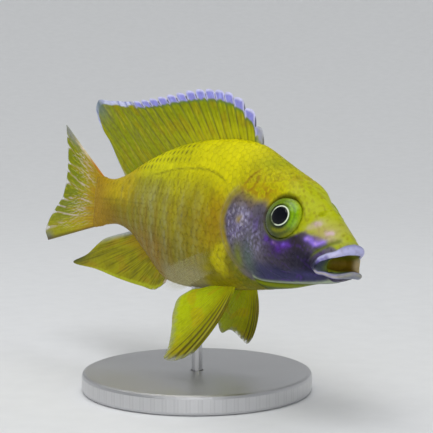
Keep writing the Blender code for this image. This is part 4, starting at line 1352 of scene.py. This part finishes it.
def build_eyes(material):
    """Both eyes: flattened balls in their sockets, with a low round lens."""
    for side, sign in SIDES.items():
        bm = bmesh.new()
        bmesh.ops.create_uvsphere(bm, u_segments=EYE_GRID[0], v_segments=EYE_GRID[1], radius=1.0)
        mesh = as_mesh(bm, "ball")
        ball = places(mesh)
        reach = np.hypot(ball[:, 0], ball[:, 1])
        front = ball[:, 2] > 0
        high = np.where(front, EYE_DEPTH * (1 - reach ** 2.3) ** 0.5, EYE_BACK * ball[:, 2])
        high += front * 0.1 * ramp(0.5, 0.3, reach)
        turned_to = Vector(EYE_WAY * (-1, 1, 1)).to_track_quat("Z", "X").to_matrix()
        flat = np.column_stack([ball[:, :2] * EYE_RADIUS, high - EYE_SUNK]) @ np.array(turned_to).T
        points = EYE_MIDDLE + flat * (-1, 1, 1)
        turn = np.arctan2(points[:, 2] - EYE_HEIGHT, EYE_STATION - points[:, 0])
        rim = ramp(0.8, 1.0, reach)
        colour = lay((84, 100, 70), [
            ((140, 186, 16), ramp(-0.2, 0.8, np.cos(turn - 0.5))),
            ((116, 140, 6), ramp(0.3, 1.0, np.cos(turn - 1.9)) * 0.8),
            # The dark coats on the iris's lower rear side and at its lower and upper rear rim are partly
            # its own darker rim, partly painted shade.
            ((70, 82, 22), ramp(0.0, 0.8, np.cos(turn + 1.9)) * 0.85),
            ((140, 142, 6), ramp(0.6, 0.95, np.cos(turn + 1.3)) * bump(0.72, 0.1, reach) * 0.7),
            ((58, 66, 12), ramp(0.72, 0.95, reach) * ramp(0.1, 0.9, np.cos(turn + 1.6)) * 0.8),
            ((170, 176, 8), rim * ramp(-0.2, 0.6, np.cos(turn - 0.1)) * 0.6),
            ((40, 44, 12), ramp(0.86, 0.98, reach) * ramp(0.1, 0.9, np.cos(turn - 2.2)) * 0.9),
            ((70, 96, 30), bump(0.75, 0.06, reach) * ramp(0, 1, np.cos(turn - 0.7)) * 0.5),
        ])
        put_layer(mesh, "tint", colour)
        put_layer(mesh, "reach", reach)
        broken = np.cos(turn - 0.5) + 0.2 * np.sin(7 * turn)
        put_layer(mesh, "glow", 0.12 + 0.88 * ramp(-0.95, -0.1, broken))
        put_layer(mesh, "band", 0.5 + 0.5 * np.cos(turn + 0.9) ** 2)
        finish_piece(f"eyeball_{side}", mesh, points * (1, sign, 1), material, "eye", (f"eye_{side}",), 60)


def build_stand():
    """The stand keeps its solids and gets turned steel."""
    steel = steel_material()
    for node in ("stand_base", "stand_rod"):
        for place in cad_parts[node].material_slots:
            place.material = steel


def build_floor():
    """A pale board that the stand is on, which rises all round, far off, as a plain surround."""
    mesh = sheet(FLOOR_GRID, FLOOR_GRID)
    flat = places(mesh) * FLOOR_SIZE
    away = np.hypot(flat[:, 0], flat[:, 1])
    flat[:, 2] = np.maximum(away - FLOOR_FLAT, 0) ** 2 * FLOOR_RISE
    mesh.name = "floor"
    mesh.vertices.foreach_set("co", flat.ravel())
    mesh.shade_smooth()
    mesh.materials.append(floor_material())
    floor = put_object("floor", mesh)


def build_light():
    """Plain soft light, mostly from above and in front, and a pale surround."""
    for name, place, target, size, power in LIGHTS:
        lamp = bpy.data.lights.new(name, "AREA")
        lamp.size = size
        lamp.energy = power
        light = put_object(name, lamp)
        light.location = place
        light.rotation_euler = (Vector(target) - Vector(place)).to_track_quat("-Z", "Y").to_euler()
    world = bpy.data.worlds.new("surround")
    world.use_nodes = True
    background = world.node_tree.nodes["Background"]
    background.inputs["Color"].default_value = SURROUND
    background.inputs["Strength"].default_value = SURROUND_STRENGTH
    bpy.context.scene.world = world
    bpy.context.scene.view_settings.view_transform = "Standard"


def build_camera():
    """The photo's view: from the right side and 54 degrees round towards the nose, a little above."""
    data = bpy.data.cameras.new("view")
    data.sensor_width = SENSOR
    data.lens = SENSOR * FOCAL_PIXELS / PHOTO_WIDTH
    data.clip_start = 0.01
    camera = put_object("view", data)
    camera.location = Vector(CAMERA_PLACE) * MM
    camera.rotation_euler = [math.radians(turn) for turn in CAMERA_TURN]
    bpy.context.scene.camera = camera


build_camera()
build_light()
build_floor()
build_stand()
build_skin(skin_material("bare_skin", False))
build_scales(skin_material("scale", True), Chart())
build_fins()
build_eyes(eye_material())
